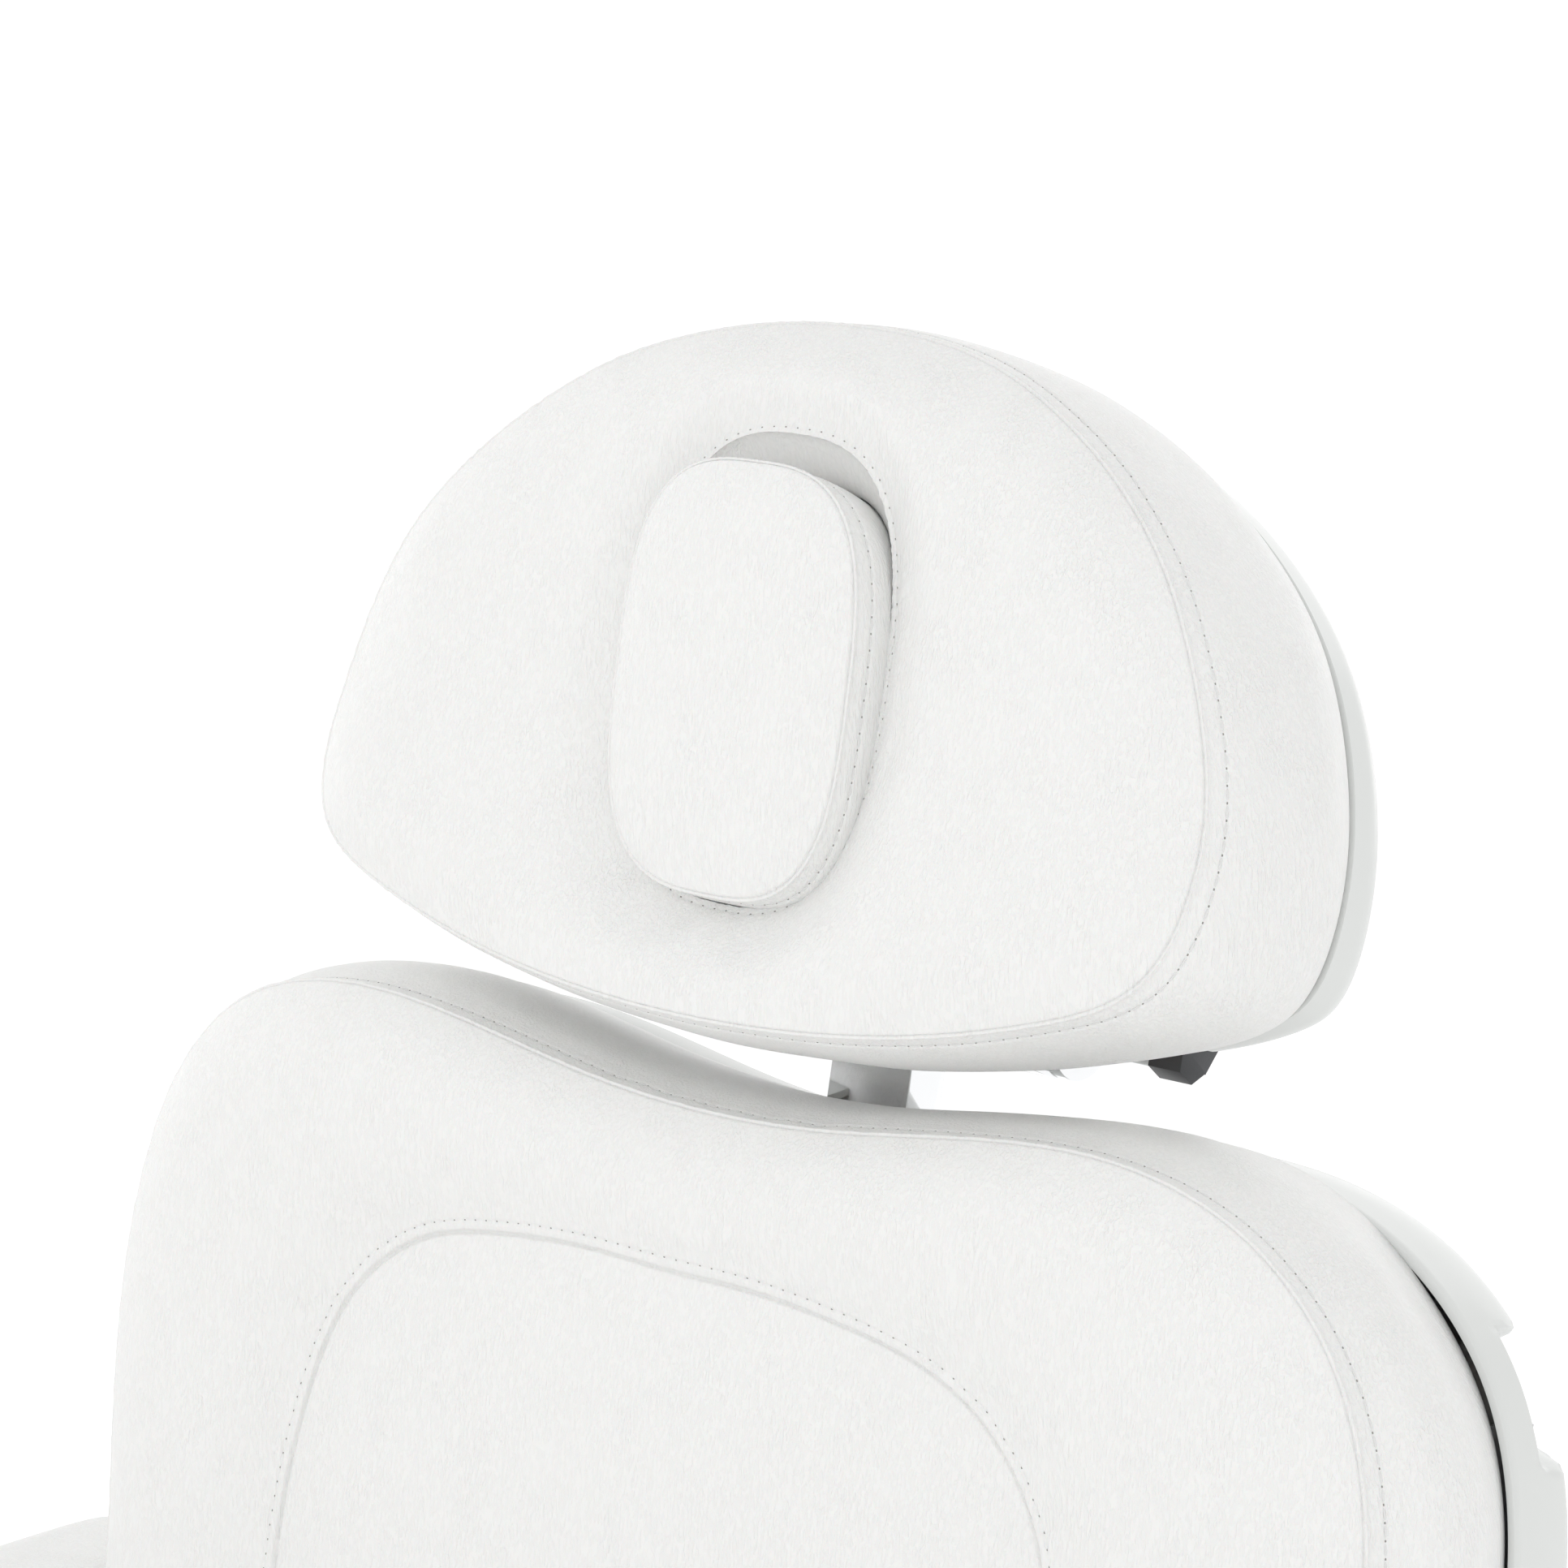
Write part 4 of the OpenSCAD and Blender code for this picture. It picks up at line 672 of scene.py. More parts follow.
HEAD_OUTLINE = [
    (0, -0.495), (0.38, -0.475), (0.774, -0.402), (0.953, -0.32), (1, -0.15), (0.955, 0.02),
    (0.853, 0.178), (0.705, 0.305), (0.517, 0.407), (0.27, 0.483), (0, 0.506)]
PAD_FOOT, BACK_TOP, LEG_END = 86 * MM, 590 * MM, 480 * MM
HEAD_HEIGHT, HEAD_BACK = 262 * MM, 84 * MM
HOLE_HALF, HOLE_POWER, HOLE_LEAN = (60.5 * MM, 85.5 * MM), 2.65, 0.195
PLUG_HALF, PLUG_POWER, PLUG_LEAN = (57.5 * MM, 77.5 * MM), 3.0, 0.24
PLUG_LOW, PLUG_PROUD = 7.5 * MM, 17 * MM
PLUG_CROWN, PLUG_ROLL, PLUG_SWOLLEN, PLUG_BULGE = 5.5 * MM, 13 * MM, 9 * MM, 3.4 * MM
# The hole narrows to the plug over this depth, and over this share of the distance between them
WELL_START, WELL_SLOPE = 2 * MM, 0.9
ARM_BULGE, ARM_CROWN, ARM_ROLL, ARM_CORNER_SHARE = 1.5 * MM, 9 * MM, 16 * MM, 0.42
SWELL_CAP = 3 * MM
CLOTH_CELL, CLOTH_COLUMNS, CLOTH_FRAMES = 9 * MM, 4, 20
CLOTH_PRESSURE, CLOTH_STIFFNESS, CLOTH_BENDING = 4.0, 25, 2
HEAD_TUCK, HEAD_BULGE, HEAD_CROWN, HEAD_ROLL = 9 * MM, 17 * MM, 11.5 * MM, 34 * MM
# The top falls to the hole over a length and a share of the hole edge's depth, but keeps a share of
# its crown there
HOLE_FALL, HOLE_FALL_DEPTH, HOLE_FALL_SHARE, HOLE_CROWN_SHARE = 26 * MM, 1.2, 0.85, 0.1
HOLE_DOTS, HOLE_DETAIL, HOLE_GROOVE = 2.5 * MM, 4 * MM, 0.3 * MM
# Rows of [height share of the boxing, swell share of the bulge, share of the tuck]
HEAD_RIM_SHARES = np.array(
    [(0, 0.2, 1), (0.08, 0.5, 0.95), (0.4, 1, 0.45), (0.7, 0.8, 0.1), (0.94, 0.25, 0), (1, 0, 0)])
# Rows of [rise over the hole's middle, depth behind the seam plane]
HEAD_WANDER = np.array([(-130, 4), (-40, 3.5), (45, -7.5), (105, -9), (133, -2)]) * MM
BACK_WANDER = np.array([(86, 10.7), (320, 10.7), (398, 8.5), (488, 6), (540, 2), (590, -6)]) * MM
BACK_LIFT = np.array([(86, 6), (380, 7), (490, 9), (521, 13.7)]) * MM
LEG_WANDER = np.array([(86, 4), (400, 4), (480, 0)]) * MM
LEG_LIFT = np.array([(86, 8), (480, 11)]) * MM


def tucked(line, amount, tuck, down=0.0):
    """Moves a line outwards, by half the amount above and by a share down of it less the tuck below."""
    n = outward(line)
    rise = np.where(n[:, 1] > 0, amount * 0.5, amount * down - tuck)
    return line + n * np.stack([np.full(len(line), amount), rise], 1)


def plug_outline(extra, directions):
    """The plug's outline, grown by extra, in the given directions."""
    return oval(directions, PLUG_HALF[0] + extra, PLUG_HALF[1] + extra, PLUG_POWER, PLUG_LOW)


class HeadPad:
    """The headrest's ring of padding round its face hole."""

    def __init__(self, width):
        self.rim = outline(HEAD_OUTLINE, width / 2, 0, HEAD_HEIGHT, COLUMNS)
        self.hole = oval(self.rim, *HOLE_HALF, HOLE_POWER)
        self.well = plug_outline(0.4 * MM, self.rim)

    def skin(self, band):
        """The ring before its seams are drawn in."""
        rim, hole, rows = self.rim, self.hole, []
        at_rim = eased(HEAD_WANDER[:, 0], HEAD_WANDER[:, 1], rim[:, 1])
        at_hole = -HOLE_LEAN * hole[:, 1]
        back = HEAD_BACK - SOFT_GAP
        for b in graded(back, (0, band), FINE, COARSE)[:0:-1]:
            share = 1 - b / back
            grow, tuck = eased(HEAD_RIM_SHARES[:, 0], HEAD_RIM_SHARES[:, 1:], np.array(share))
            line = tucked(rim, HEAD_BULGE * grow, HEAD_TUCK * tuck, 0.3)
            rows.append(at_depth(line, back + (at_rim - back) * share))
        self.seam_row = len(rows)
        span = np.linalg.norm(hole - rim, axis=1)
        fall = np.minimum(
            HOLE_FALL + HOLE_FALL_DEPTH * np.maximum(at_hole, 0), span * HOLE_FALL_SHARE)
        details = (0, TOP_WAY - HOLE_DETAIL, TOP_WAY)
        for v in stations(graded(TOP_WAY, details, FINE, TOP_COARSE), span, TOP_WAY):
            t = v / span
            line = rim * (1 - t[:, None]) + hole * t[:, None]
            kept = 1 - (1 - HOLE_CROWN_SHARE) * smooth((v - span + fall) / fall)
            height = HEAD_CROWN * rolled(v, HEAD_ROLL) * kept
            rows.append(at_depth(line, at_rim * (1 - t) + at_hole * t - height))
        self.hole_row = len(rows) - 1
        well_depth = WELL_START + WELL_SLOPE * np.linalg.norm(hole - self.well, axis=1)
        for d in graded(back, (0,), FINE, COARSE)[1:]:
            share = d / back
            t = smooth(d / well_depth)[:, None]
            line = hole * (1 - t) + self.well * t
            depth = back * share + (at_hole - HEAD_CROWN * HOLE_CROWN_SHARE) * (1 - share)
            rows.append(at_depth(line, depth))
        return Skin(HEAD.place(np.stack(rows)), loop=True)

    def build(self, name, sizes, seed):
        """The sewn ring, its stitches and its beads of painted needle-hole shade, as three objects."""
        skin = self.skin(sizes.band_width)
        inflate(skin, (self.seam_row, self.hole_row), SWELL_CAP)
        v, w = skin.across_from(self.seam_row), skin.across_from(self.hole_row)
        amount = sewn_edge(v, sizes) - HOLE_GROOVE * ridge(w, -HOLE_DOTS, GROOVE_WIDTH)
        amount += gathers(skin, v, w, sizes, seed)
        return sewn(name, skin, sizes, amount, v, w, HOLE_DOTS)


def capped_pad(name, axes, line, back, seam, crown, roll, bulge, swollen, sizes, seed, lean=0.0):
    """A pad with a boxing up to one seam and a crowned top, as a pad, its stitches and its beads of
    painted needle-hole shade. back and seam are depths, bulge swells the last swollen length of the
    boxing sideways, and the lean brings the seam forward with its rise."""
    rows, middle = [], line.mean(0)
    height, out = back - seam, outward(line)
    for b in graded(height, (0, sizes.band_width), FINE, COARSE)[:0:-1]:
        share = 1 - b / height
        wave = max(0.0, math.sin(math.pi * min(1, b / swollen))) ** 0.7
        edge = line + out * np.abs(out[:, :1]) * bulge * wave
        rows.append(at_depth(edge, back - (height + lean * edge[:, 1]) * share))
    seam_row = len(rows)
    reach = np.linalg.norm(line - middle, axis=1).min()
    for d in graded(reach, (0,), FINE, CAP_COARSE)[:-1]:
        top = line - outward(line) * min(d, roll) * 0.9
        k = max(0.0, 1 - max(0.0, d - roll) / (reach - roll))
        edge = middle + (top - middle) * k
        depth = seam - lean * edge[:, 1] - crown * float(rolled(np.array(d), roll * 2))
        rows.append(at_depth(edge, depth))
    skin = Skin(axes.place(np.stack(rows)))
    inflate(skin, (seam_row,), SWELL_CAP * 0.3)
    v = skin.across_from(seam_row)
    amount = sewn_edge(v, sizes) + gathers(skin, v, v + 1.0, sizes, seed) * 0.6
    return sewn(name, skin, sizes, amount, v)


SEAT_NOSE, SEAT_LOW, SEAT_ROLL = 60 * MM, -30 * MM, 20 * MM
SEAT_PANEL_IN, SEAT_PANEL_CORNER = 78 * MM, 40 * MM


def seat_profile(span, inset, count):
    """The seat's outline from the side: flat above and below, round at both hinge lines."""
    nose = SEAT_NOSE - inset
    low = SEAT_LOW + SOFT_GAP
    start = math.asin(max(-1.0, low / nose))
    arc = np.linspace(start, math.pi / 2, 40)
    rear = np.stack([span / 2 + nose * np.cos(arc), nose * np.sin(arc)], 1)
    front = (rear * (-1, 1))[::-1]
    loop = np.vstack([rear, front, rear[:1]])
    length = np.concatenate([[0], np.cumsum(np.linalg.norm(np.diff(loop, axis=0), axis=1))])
    where = np.linspace(0, length[-1], count, endpoint=False)
    return np.stack([np.interp(where, length, loop[:, k]) for k in (0, 1)], 1)


def seat_pad(name, sizes, seed):
    """The seat pad, rolled at its sides and over both hinge lines, with its stitches and its beads of
    painted needle-hole shade."""
    low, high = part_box("seat_cushion")
    middle_y, span = (low.y + high.y) / 2, high.y - low.y - 2 * SEAT_NOSE
    hinge_z = high.z - SEAT_NOSE
    half = sizes.seat_width / 2
    crease = 14 * MM
    from_side = graded(half, (crease, crease + sizes.band_width, SEAT_PANEL_IN), FINE * 1.6, 11 * MM)
    edges = np.concatenate([from_side, from_side[-2::-1]])
    sides = np.where(np.arange(len(edges)) < len(from_side), -1.0, 1.0)
    rings = []
    for e, side in zip(edges, sides):
        ring = seat_profile(span, SEAT_ROLL * (1 - float(rolled(np.array(e + 1 * MM), 30 * MM))), 760)
        x = np.full(len(ring), side * (half - e))
        rings.append(np.column_stack([x, middle_y + ring[:, 0], hinge_z + ring[:, 1]]))
    skin = Skin(np.stack(rings))
    g = skin.grid
    from_edge = half - np.abs(g[..., 0])
    v = from_edge - crease
    on_top = smooth((g[..., 2] - hinge_z - 0.6 * SEAT_NOSE) / (8 * MM))
    qx = np.abs(g[..., 0]) - (half - SEAT_PANEL_IN - SEAT_PANEL_CORNER)
    qy = np.abs(g[..., 1] - middle_y) - (span / 2 - 2 * SEAT_PANEL_CORNER)
    w = np.hypot(np.maximum(qx, 0), np.maximum(qy, 0)) + np.minimum(np.maximum(qx, qy), 0)
    w = w - SEAT_PANEL_CORNER
    upper = smooth((g[..., 2] - hinge_z - SEAT_LOW) / (10 * MM))
    amount = upper * sewn_edge(-v, sizes)
    amount -= on_top * (1.3 * MM * ridge(w, 0, 1.6 * MM) + 0.5 * MM * ridge(w, 5 * MM, 1.2 * MM))
    amount -= on_top * 2.5 * MM * (1 - rolled(np.abs(w), 26 * MM))
    amount += upper * gathers(skin, v, w, sizes, seed)
    skin.push(amount)
    sewing = Sewing(sizes)
    for side in (0, 1):
        row = int(np.argmin(np.abs(from_side - crease - sizes.band_width)))
        row = row if side == 0 else len(edges) - 1 - row
        keep = g[row, :, 2] > hinge_z + SEAT_LOW + 8 * MM
        sewing.topstitch(skin.grid[row][keep], skin.normals()[row][keep], closed=False)
    return skin.object(name), *sewing.objects(name)


SHELL_WALL, SHELL_DEPTH, SHELL_ROUND, SHELL_SWELL = 3 * MM, 46 * MM, 26 * MM, 14 * MM
# Rows of [depth share, inset share of the rounding]
SHELL_SHARES = np.array([(0, 0), (0.3, 0), (0.72, 0.07), (0.93, 0.38), (1, 0.65)])
GRIP_LOW, GRIP_HIGH, GRIP_REACH, GRIP_DEPTH = 507 * MM, 553 * MM, 272 * MM, 44 * MM
GRIP_EASE, GRIP_STEP = 14 * MM, 4 * MM


def shell_rows(edge, back, depth, inset_at, wall):
    """Rings of a double-walled tray from its inside round the rim to its outside, as lines with
    their depths. inset_at gives the rounding's inset at a share of the depth."""
    outside = []
    for share in np.concatenate([[0.0, 0.015], graded(1.0, (0.85, 1.0), 0.02, 0.1)[1:]]):
        lip = 0.6 * MM * (1 - smooth(np.array(share / 0.015)))
        outside.append((edge - outward(edge) * (inset_at(share) + lip), back + depth * share))
    inside = [(edge - outward(edge) * (inset_at(s) + wall), back + (depth - wall) * s)
              for s in (1.0, 0.93, 0.8, 0.6, 0.3, 0.02, 0.0)]
    return inside, outside


def tray(name, axes, shares, half_width, top, grip=False):
    """A moulded shell behind a pad: rounded at the back, with a rim of the wall's thickness."""
    line = swell(outline(shares, half_width, PAD_FOOT, top - PAD_FOOT, COLUMNS), SHELL_SWELL,
                 SHELL_CORNER_SHARE, SHELL_EDGE_SHARE)

    def inset_at(share):
        return SHELL_ROUND * float(eased(SHELL_SHARES[:, 0], SHELL_SHARES[:, 1], np.array(share)))

    inside, outside = shell_rows(line, PAD_BACK, SHELL_DEPTH, inset_at, SHELL_WALL)
    middle = line.mean(0)
    inner_end, outer_end = inside[0], outside[-1]
    caps_in = [(middle + (inner_end[0] - middle) * k, inner_end[1]) for k in (0.3, 0.7, 0.9)]
    caps_out = [(middle + (outer_end[0] - middle) * k, outer_end[1]) for k in (0.985, 0.9, 0.6, 0.3)]
    grid = np.stack([at_depth(p, d) for p, d in caps_in + inside + outside + caps_out])
    if grip:
        x, d, z = grid[..., 0], grid[..., 1], grid[..., 2]
        window = smooth((z - GRIP_LOW) / GRIP_EASE)
        window = window * (1 - smooth((z - GRIP_HIGH + GRIP_EASE) / GRIP_EASE))
        dent = window * smooth((d - GRIP_DEPTH) / GRIP_STEP + 1)
        is_inner = np.arange(len(grid)) < len(caps_in + inside)
        reach = np.where(is_inner, GRIP_REACH - SHELL_WALL, GRIP_REACH)
        over = np.maximum(np.abs(x) - reach[:, None], 0) * dent
        grid[..., 0] = x - np.sign(x) * over
    return Skin(axes.place(grid)).object(name)


HEAD_SHELL_DEPTH, HEAD_SHELL_SWELL, HEAD_SHELL_ROUND = 26 * MM, 6 * MM, 20 * MM
HEAD_SHELL_TUCK, BOARD = 12 * MM, 10 * MM
HEAD_SHELL_SHARES = np.array([(0, 0), (0.4, 0), (0.75, 0.15), (0.95, 0.6), (1, 1)])


def head_shell(name, width):
    """The headrest's rear shell, a ring round the hole."""
    rim = outline(HEAD_OUTLINE, width / 2, 0, HEAD_HEIGHT, COLUMNS)
    edge = tucked(rim, HEAD_SHELL_SWELL, HEAD_SHELL_TUCK)

    def inset_at(share):
        rows = HEAD_SHELL_SHARES
        return HEAD_SHELL_ROUND * float(eased(rows[:, 0], rows[:, 1], np.array(share)))

    inside, outside = shell_rows(edge, HEAD_BACK, HEAD_SHELL_DEPTH, inset_at, SHELL_WALL)
    wide, narrow = plug_outline(8 * MM, rim), plug_outline(2 * MM, rim)
    last = HEAD_BACK + HEAD_SHELL_DEPTH
    hole = [(narrow, last), (narrow, HEAD_BACK + BOARD + 1 * MM), (wide, HEAD_BACK + BOARD + 1 * MM),
            (wide, last - SHELL_WALL)]
    rows = [at_depth(p, d) for p, d in inside + outside + hole]
    return Skin(HEAD.place(np.stack(rows)), loop=True).object(name)


def merged_copy(name, node):
    """A copy of a CAD node's mesh with its doubled points merged and its flat faces joined."""
    made = bmesh.new()
    made.from_mesh(frame["nodes"][node].data)
    bmesh.ops.remove_doubles(made, verts=made.verts, dist=0.004 * MM)
    bmesh.ops.dissolve_limit(
        made, angle_limit=math.radians(1.0), verts=made.verts, edges=made.edges)
    mesh = bpy.data.meshes.new(name)
    made.to_mesh(mesh)
    made.free()
    return linked(name, mesh)


def applied(obj):
    """Bakes an object's modifiers into its mesh."""
    graph = bpy.context.evaluated_depsgraph_get()
    graph.update()
    baked = bpy.data.meshes.new_from_object(obj.evaluated_get(graph))
    old = obj.data
    obj.modifiers.clear()
    obj.data = baked
    bpy.data.meshes.remove(old)
    return obj


def shaded(mesh, degrees):
    """Smooth shading that breaks at edges sharper than the angle."""
    mesh.polygons.foreach_set("use_smooth", np.ones(len(mesh.polygons), bool))
    mesh.set_sharp_from_angle(angle=math.radians(degrees))


def softened(node, width):
    """A CAD node's shape with small rounded edges, which stands for it and rides with it."""
    copy = merged_copy(node + "_piece", node)
    bevel = copy.modifiers.new("edges", "BEVEL")
    bevel.width = width
    bevel.segments = 2
    bevel.limit_method = "ANGLE"
    bevel.angle_limit = math.radians(28)
    applied(copy)
    shaded(copy.data, 42)
    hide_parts(node)
    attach(copy, BODY_OF[node])
    return copy


def carved(obj, axes, boxes):
    """Cuts boxes, given by two corners in the axes, out of an object."""
    for low, high in boxes:
        corners = [[(low, high)[(i >> a) & 1][a] for a in range(3)] for i in range(8)]
        faces = [(0, 2, 3, 1), (4, 5, 7, 6), (0, 1, 5, 4), (2, 6, 7, 3), (0, 4, 6, 2), (1, 3, 7, 5)]
        points = axes.place(np.array(corners, float))
        if np.linalg.det(points[[1, 2, 4]] - points[0]) < 0:
            faces = [f[::-1] for f in faces]
        cutter = mesh_object(f"{obj.name}_cutter", points, faces, False)
        cut = obj.modifiers.new("cut", "BOOLEAN")
        cut.operation = "DIFFERENCE"
        cut.solver = "EXACT"
        cut.object = cutter
        applied(obj)
        bpy.data.objects.remove(cutter)
    shaded(obj.data, 50)


def rounded_tube(name, y0, z0, z1, outer, wall, radius, columns=96):
    """An upright square tube with round corners, open at both ends. outer is its side."""
    lip = 0.5 * MM
    outside, mouth, inner_mouth, inside = [
        rounded_rectangle(outer / 2 - s, outer / 2 - s, max(radius - s, 1.5 * MM), columns) + (0, y0)
        for s in (0.0, lip, wall - lip, wall)]
    up = np.linspace(z0 + lip, z1 - lip, 12)
    places = [(outside, z) for z in up] + [(mouth, z1), (inner_mouth, z1)]
    places += [(inside, z) for z in up[::-1]] + [(inner_mouth, z0), (mouth, z0)]
    return Skin(np.stack([at_height(p, z) for p, z in places]), loop=True).object(name)


SKIRT, SKIRT_CORNER, NECK_CORNER, NECK_GAP = 82 * MM, 60 * MM, 12 * MM, 4 * MM


def base_shroud(name):
    """The moulded cover over the base frame, with its skirt and the opening for the column."""
    low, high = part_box("base_cover")
    column_low, column_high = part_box("column_outer")
    middle = ((low.x + high.x) / 2, (low.y + high.y) / 2)
    half = np.array(((high.x - low.x) / 2, (high.y - low.y) / 2))
    opening = (column_high.x - column_low.x) / 2 + NECK_GAP
    rise = high.z - SKIRT

    def ring(k, inset, z):
        reach = half - k * (half - opening) - inset
        radius = max(SKIRT_CORNER + (NECK_CORNER - SKIRT_CORNER) * k - inset, 4 * MM)
        return at_height(rounded_rectangle(*reach, radius, 320) + middle, z)

    outer = [ring(0, 0.6 * MM, low.z), ring(0, 0, low.z + 0.8 * MM)]
    outer += [ring(0, 0, z) for z in np.linspace(low.z + 3 * MM, SKIRT, 9)[:-1]]
    steps = np.linspace(0, 1, 26)
    shares = eased([0, 0.35, 0.7, 0.9, 1], [0, 0.06, 0.25, 0.5, 0.75], steps)
    outer += [ring(k, 0, SKIRT + rise * s) for s, k in zip(steps, shares)]
    outer += [ring(k, 0, high.z) for k in (0.85, 0.96, 1.0)]
    inner = [ring(1, 0, high.z - SHELL_WALL), ring(0.75, 0, high.z - SHELL_WALL)]
    inner += [ring(k, SHELL_WALL * (1 - s), SKIRT + rise * s - SHELL_WALL)
              for s, k in zip(steps[::-3], shares[::-3])]
    inner += [ring(0, SHELL_WALL, z) for z in (SKIRT - SHELL_WALL, low.z + 1 * MM, low.z)]
    return Skin(np.stack(outer + inner), loop=True).object(name)


class Tree:
    """A node tree that is filled by short calls."""

    def __init__(self, tree):
        self.tree = tree

    def add(self, kind, inputs=None, **settings):
        """A node of a kind. An input is a value or another node's output."""
        made = self.tree.nodes.new(kind)
        for key, value in settings.items():
            setattr(made, key, value)
        self.feed(made, inputs or {})
        return made

    def feed(self, node, inputs):
        """Puts values or other nodes' outputs into a node's inputs."""
        for key, value in inputs.items():
            if isinstance(value, bpy.types.NodeSocket):
                self.tree.links.new(value, node.inputs[key])
            else:
                node.inputs[key].default_value = value

    def noise(self, place, scale, detail=3.0, roughness=0.5, distortion=0.0):
        """Values of a noise texture in object places."""
        return self.add("ShaderNodeTexNoise", {
            "Vector": place, "Scale": scale, "Detail": detail, "Roughness": roughness,
            "Distortion": distortion}).outputs["Fac"]

    def math(self, operation, a, b):
        """A sum or a product of two values."""
        return self.add("ShaderNodeMath", {0: a, 1: b}, operation=operation).outputs[0]

    def span(self, value, low, high, start=0.0, end=1.0):
        """A value from low to high as one from start to end."""
        return self.add("ShaderNodeMapRange", {
            "Value": value, "From Min": low, "From Max": high, "To Min": start, "To Max": end}
        ).outputs["Result"]

    def stretched(self, place, scale):
        """A place multiplied along each axis."""
        return self.add("ShaderNodeVectorMath", {0: place, 1: scale}, operation="MULTIPLY").outputs[0]

    def place(self):
        """Object coordinates."""
        return self.add("ShaderNodeTexCoord").outputs["Object"]

    def bump(self, height, strength, distance):
        """Normals of a surface that rises with a value."""
        return self.add("ShaderNodeBump", {
            "Height": height, "Strength": strength, "Distance": distance}).outputs["Normal"]

    def tint(self, colour, value, low, high):
        """A colour made darker or lighter by a value from 0 to 1."""
        mix = self.add("ShaderNodeMix", data_type="RGBA")
        self.feed(mix, {
            "A": (*[c * low for c in colour], 1), "B": (*[min(1, c * high) for c in colour], 1),
            "Factor": value})
        return mix.outputs["Result"]


def effect(name, build, inputs, outputs):
    """A node group that several finishes share. build gets its tree, input and output nodes."""
    if name in bpy.data.node_groups:
        return bpy.data.node_groups[name]
    group = bpy.data.node_groups.new(name, "ShaderNodeTree")
    for label, kind, value in inputs:
        socket = group.interface.new_socket(label, in_out="INPUT", socket_type=kind)
        socket.default_value = value
    for label, kind in outputs:
        group.interface.new_socket(label, in_out="OUTPUT", socket_type=kind)
    tree = Tree(group)
    build(tree, tree.add("NodeGroupInput"), tree.add("NodeGroupOutput"))
    return group


def speckle_nodes(tree, given, result):
    """Fine bumps of a sprayed or moulded skin, and a slow change of its gloss."""
    place = tree.place()
    fine = tree.noise(place, given.outputs["Scale"], 2.0, 0.55)
    slow = tree.noise(place, 9.0, 3.0, 0.6)
    tree.feed(result, {
        "Normal": tree.bump(fine, given.outputs["Strength"], 0.12 * MM), "Slow": slow})


def speckle():
    """The shared group of fine bumps."""
    return effect(
        "Moulded speckle", speckle_nodes,
        [("Scale", "NodeSocketFloat", 900.0), ("Strength", "NodeSocketFloat", 0.3)],
        [("Normal", "NodeSocketVector"), ("Slow", "NodeSocketFloat")])


def finish(name, build):
    """A material by its name, whose nodes build makes from its tree and its surface shader."""
    if name in bpy.data.materials:
        return bpy.data.materials[name]
    made = bpy.data.materials.new(name)
    made.use_nodes = True
    build(Tree(made.node_tree), made.node_tree.nodes["Principled BSDF"])
    return made


def leather(colour):
    """Satin leather: fine upright creases about 1 mm apart, pores, and a faint cloudiness. Its colour is
    a little darker in the crease hollows, as painted shade.
    """
    def build(tree, shader):
        place = tree.place()
        warp = tree.noise(place, 60.0, 2.0)
        crease = tree.noise(tree.stretched(place, (820.0, 820.0, 190.0)), 1.0, 1.0, 0.5, 0.6)
        pores = tree.add("ShaderNodeTexVoronoi", {
            "Vector": place, "Scale": 1300.0}).outputs["Distance"]
        crest = tree.span(crease, 0.4, 0.58)
        height = tree.math("ADD", tree.math("MULTIPLY", crest, 0.8), tree.math("MULTIPLY", pores, 0.25))
        tree.feed(shader, {
            "Normal": tree.bump(height, tree.span(warp, 0.3, 0.7, 0.45, 0.75), 0.3 * MM),
            # Painted shade: the colour falls a little where the crease height is low, in the crease
            # hollows
            "Base Color": tree.tint(colour, crest, 0.972, 1.0),
            "Roughness": tree.span(tree.noise(place, 14.0, 3.0), 0.3, 0.7, 0.4, 0.48),
            "Specular IOR Level": 0.42, "Sheen Weight": 0.06,
            "Subsurface Weight": 0.06, "Subsurface Scale": 1.5 * MM})
    return finish("White leather", build)


def thread_material(name, colour):
    """Twisted sewing thread: small slanted ridges with a soft sheen, and painted shade that darkens the
    grooves of the twist. A dark copy of it paints the shade in the needle holes.
    """
    def build(tree, shader):
        twist = tree.add("ShaderNodeTexWave", {
            "Vector": tree.place(), "Scale": 900.0, "Distortion": 2.0, "Detail": 1.0},
            bands_direction="DIAGONAL").outputs["Fac"]
        tree.feed(shader, {
            "Normal": tree.bump(twist, 0.35, 0.1 * MM),
            # Painted shade: the colour is darker in the grooves of the twist, where the bump sinks
            "Base Color": tree.tint(colour, twist, 0.86, 1.0),
            "Roughness": 0.6, "Sheen Weight": 0.25})
    return finish(name, build)


def coated(name, colour, roughness, scale, strength, coat=0.0):
    """A painted, moulded or cast skin with fine speckle, a slow gloss change and a faint tint."""
    def build(tree, shader):
        group = tree.add("ShaderNodeGroup", node_tree=speckle())
        tree.feed(group, {"Scale": scale, "Strength": strength})
        slow = group.outputs["Slow"]
        tree.feed(shader, {
            "Normal": group.outputs["Normal"], "Base Color": tree.tint(colour, slow, 0.965, 1.02),
            "Roughness": tree.span(slow, 0.3, 0.7, roughness * 0.88, roughness * 1.1),
            "Coat Weight": coat, "Coat Roughness": 0.12})
    return finish(name, build)


def plated(name, colour, roughness):
    """Bright plating with faint polishing marks."""
    def build(tree, shader):
        place = tree.place()
        marks = tree.noise(tree.stretched(place, (900.0, 900.0, 60.0)), 1.0, 2.0)
        tree.feed(shader, {
            "Base Color": tree.tint(colour, tree.noise(place, 25.0, 3.0), 0.95, 1.03),
            "Metallic": 1.0,
            "Roughness": tree.span(marks, 0.3, 0.7, roughness * 0.7, roughness * 1.5),
            "Normal": tree.bump(marks, 0.05, 0.02 * MM)})
    return finish(name, build)


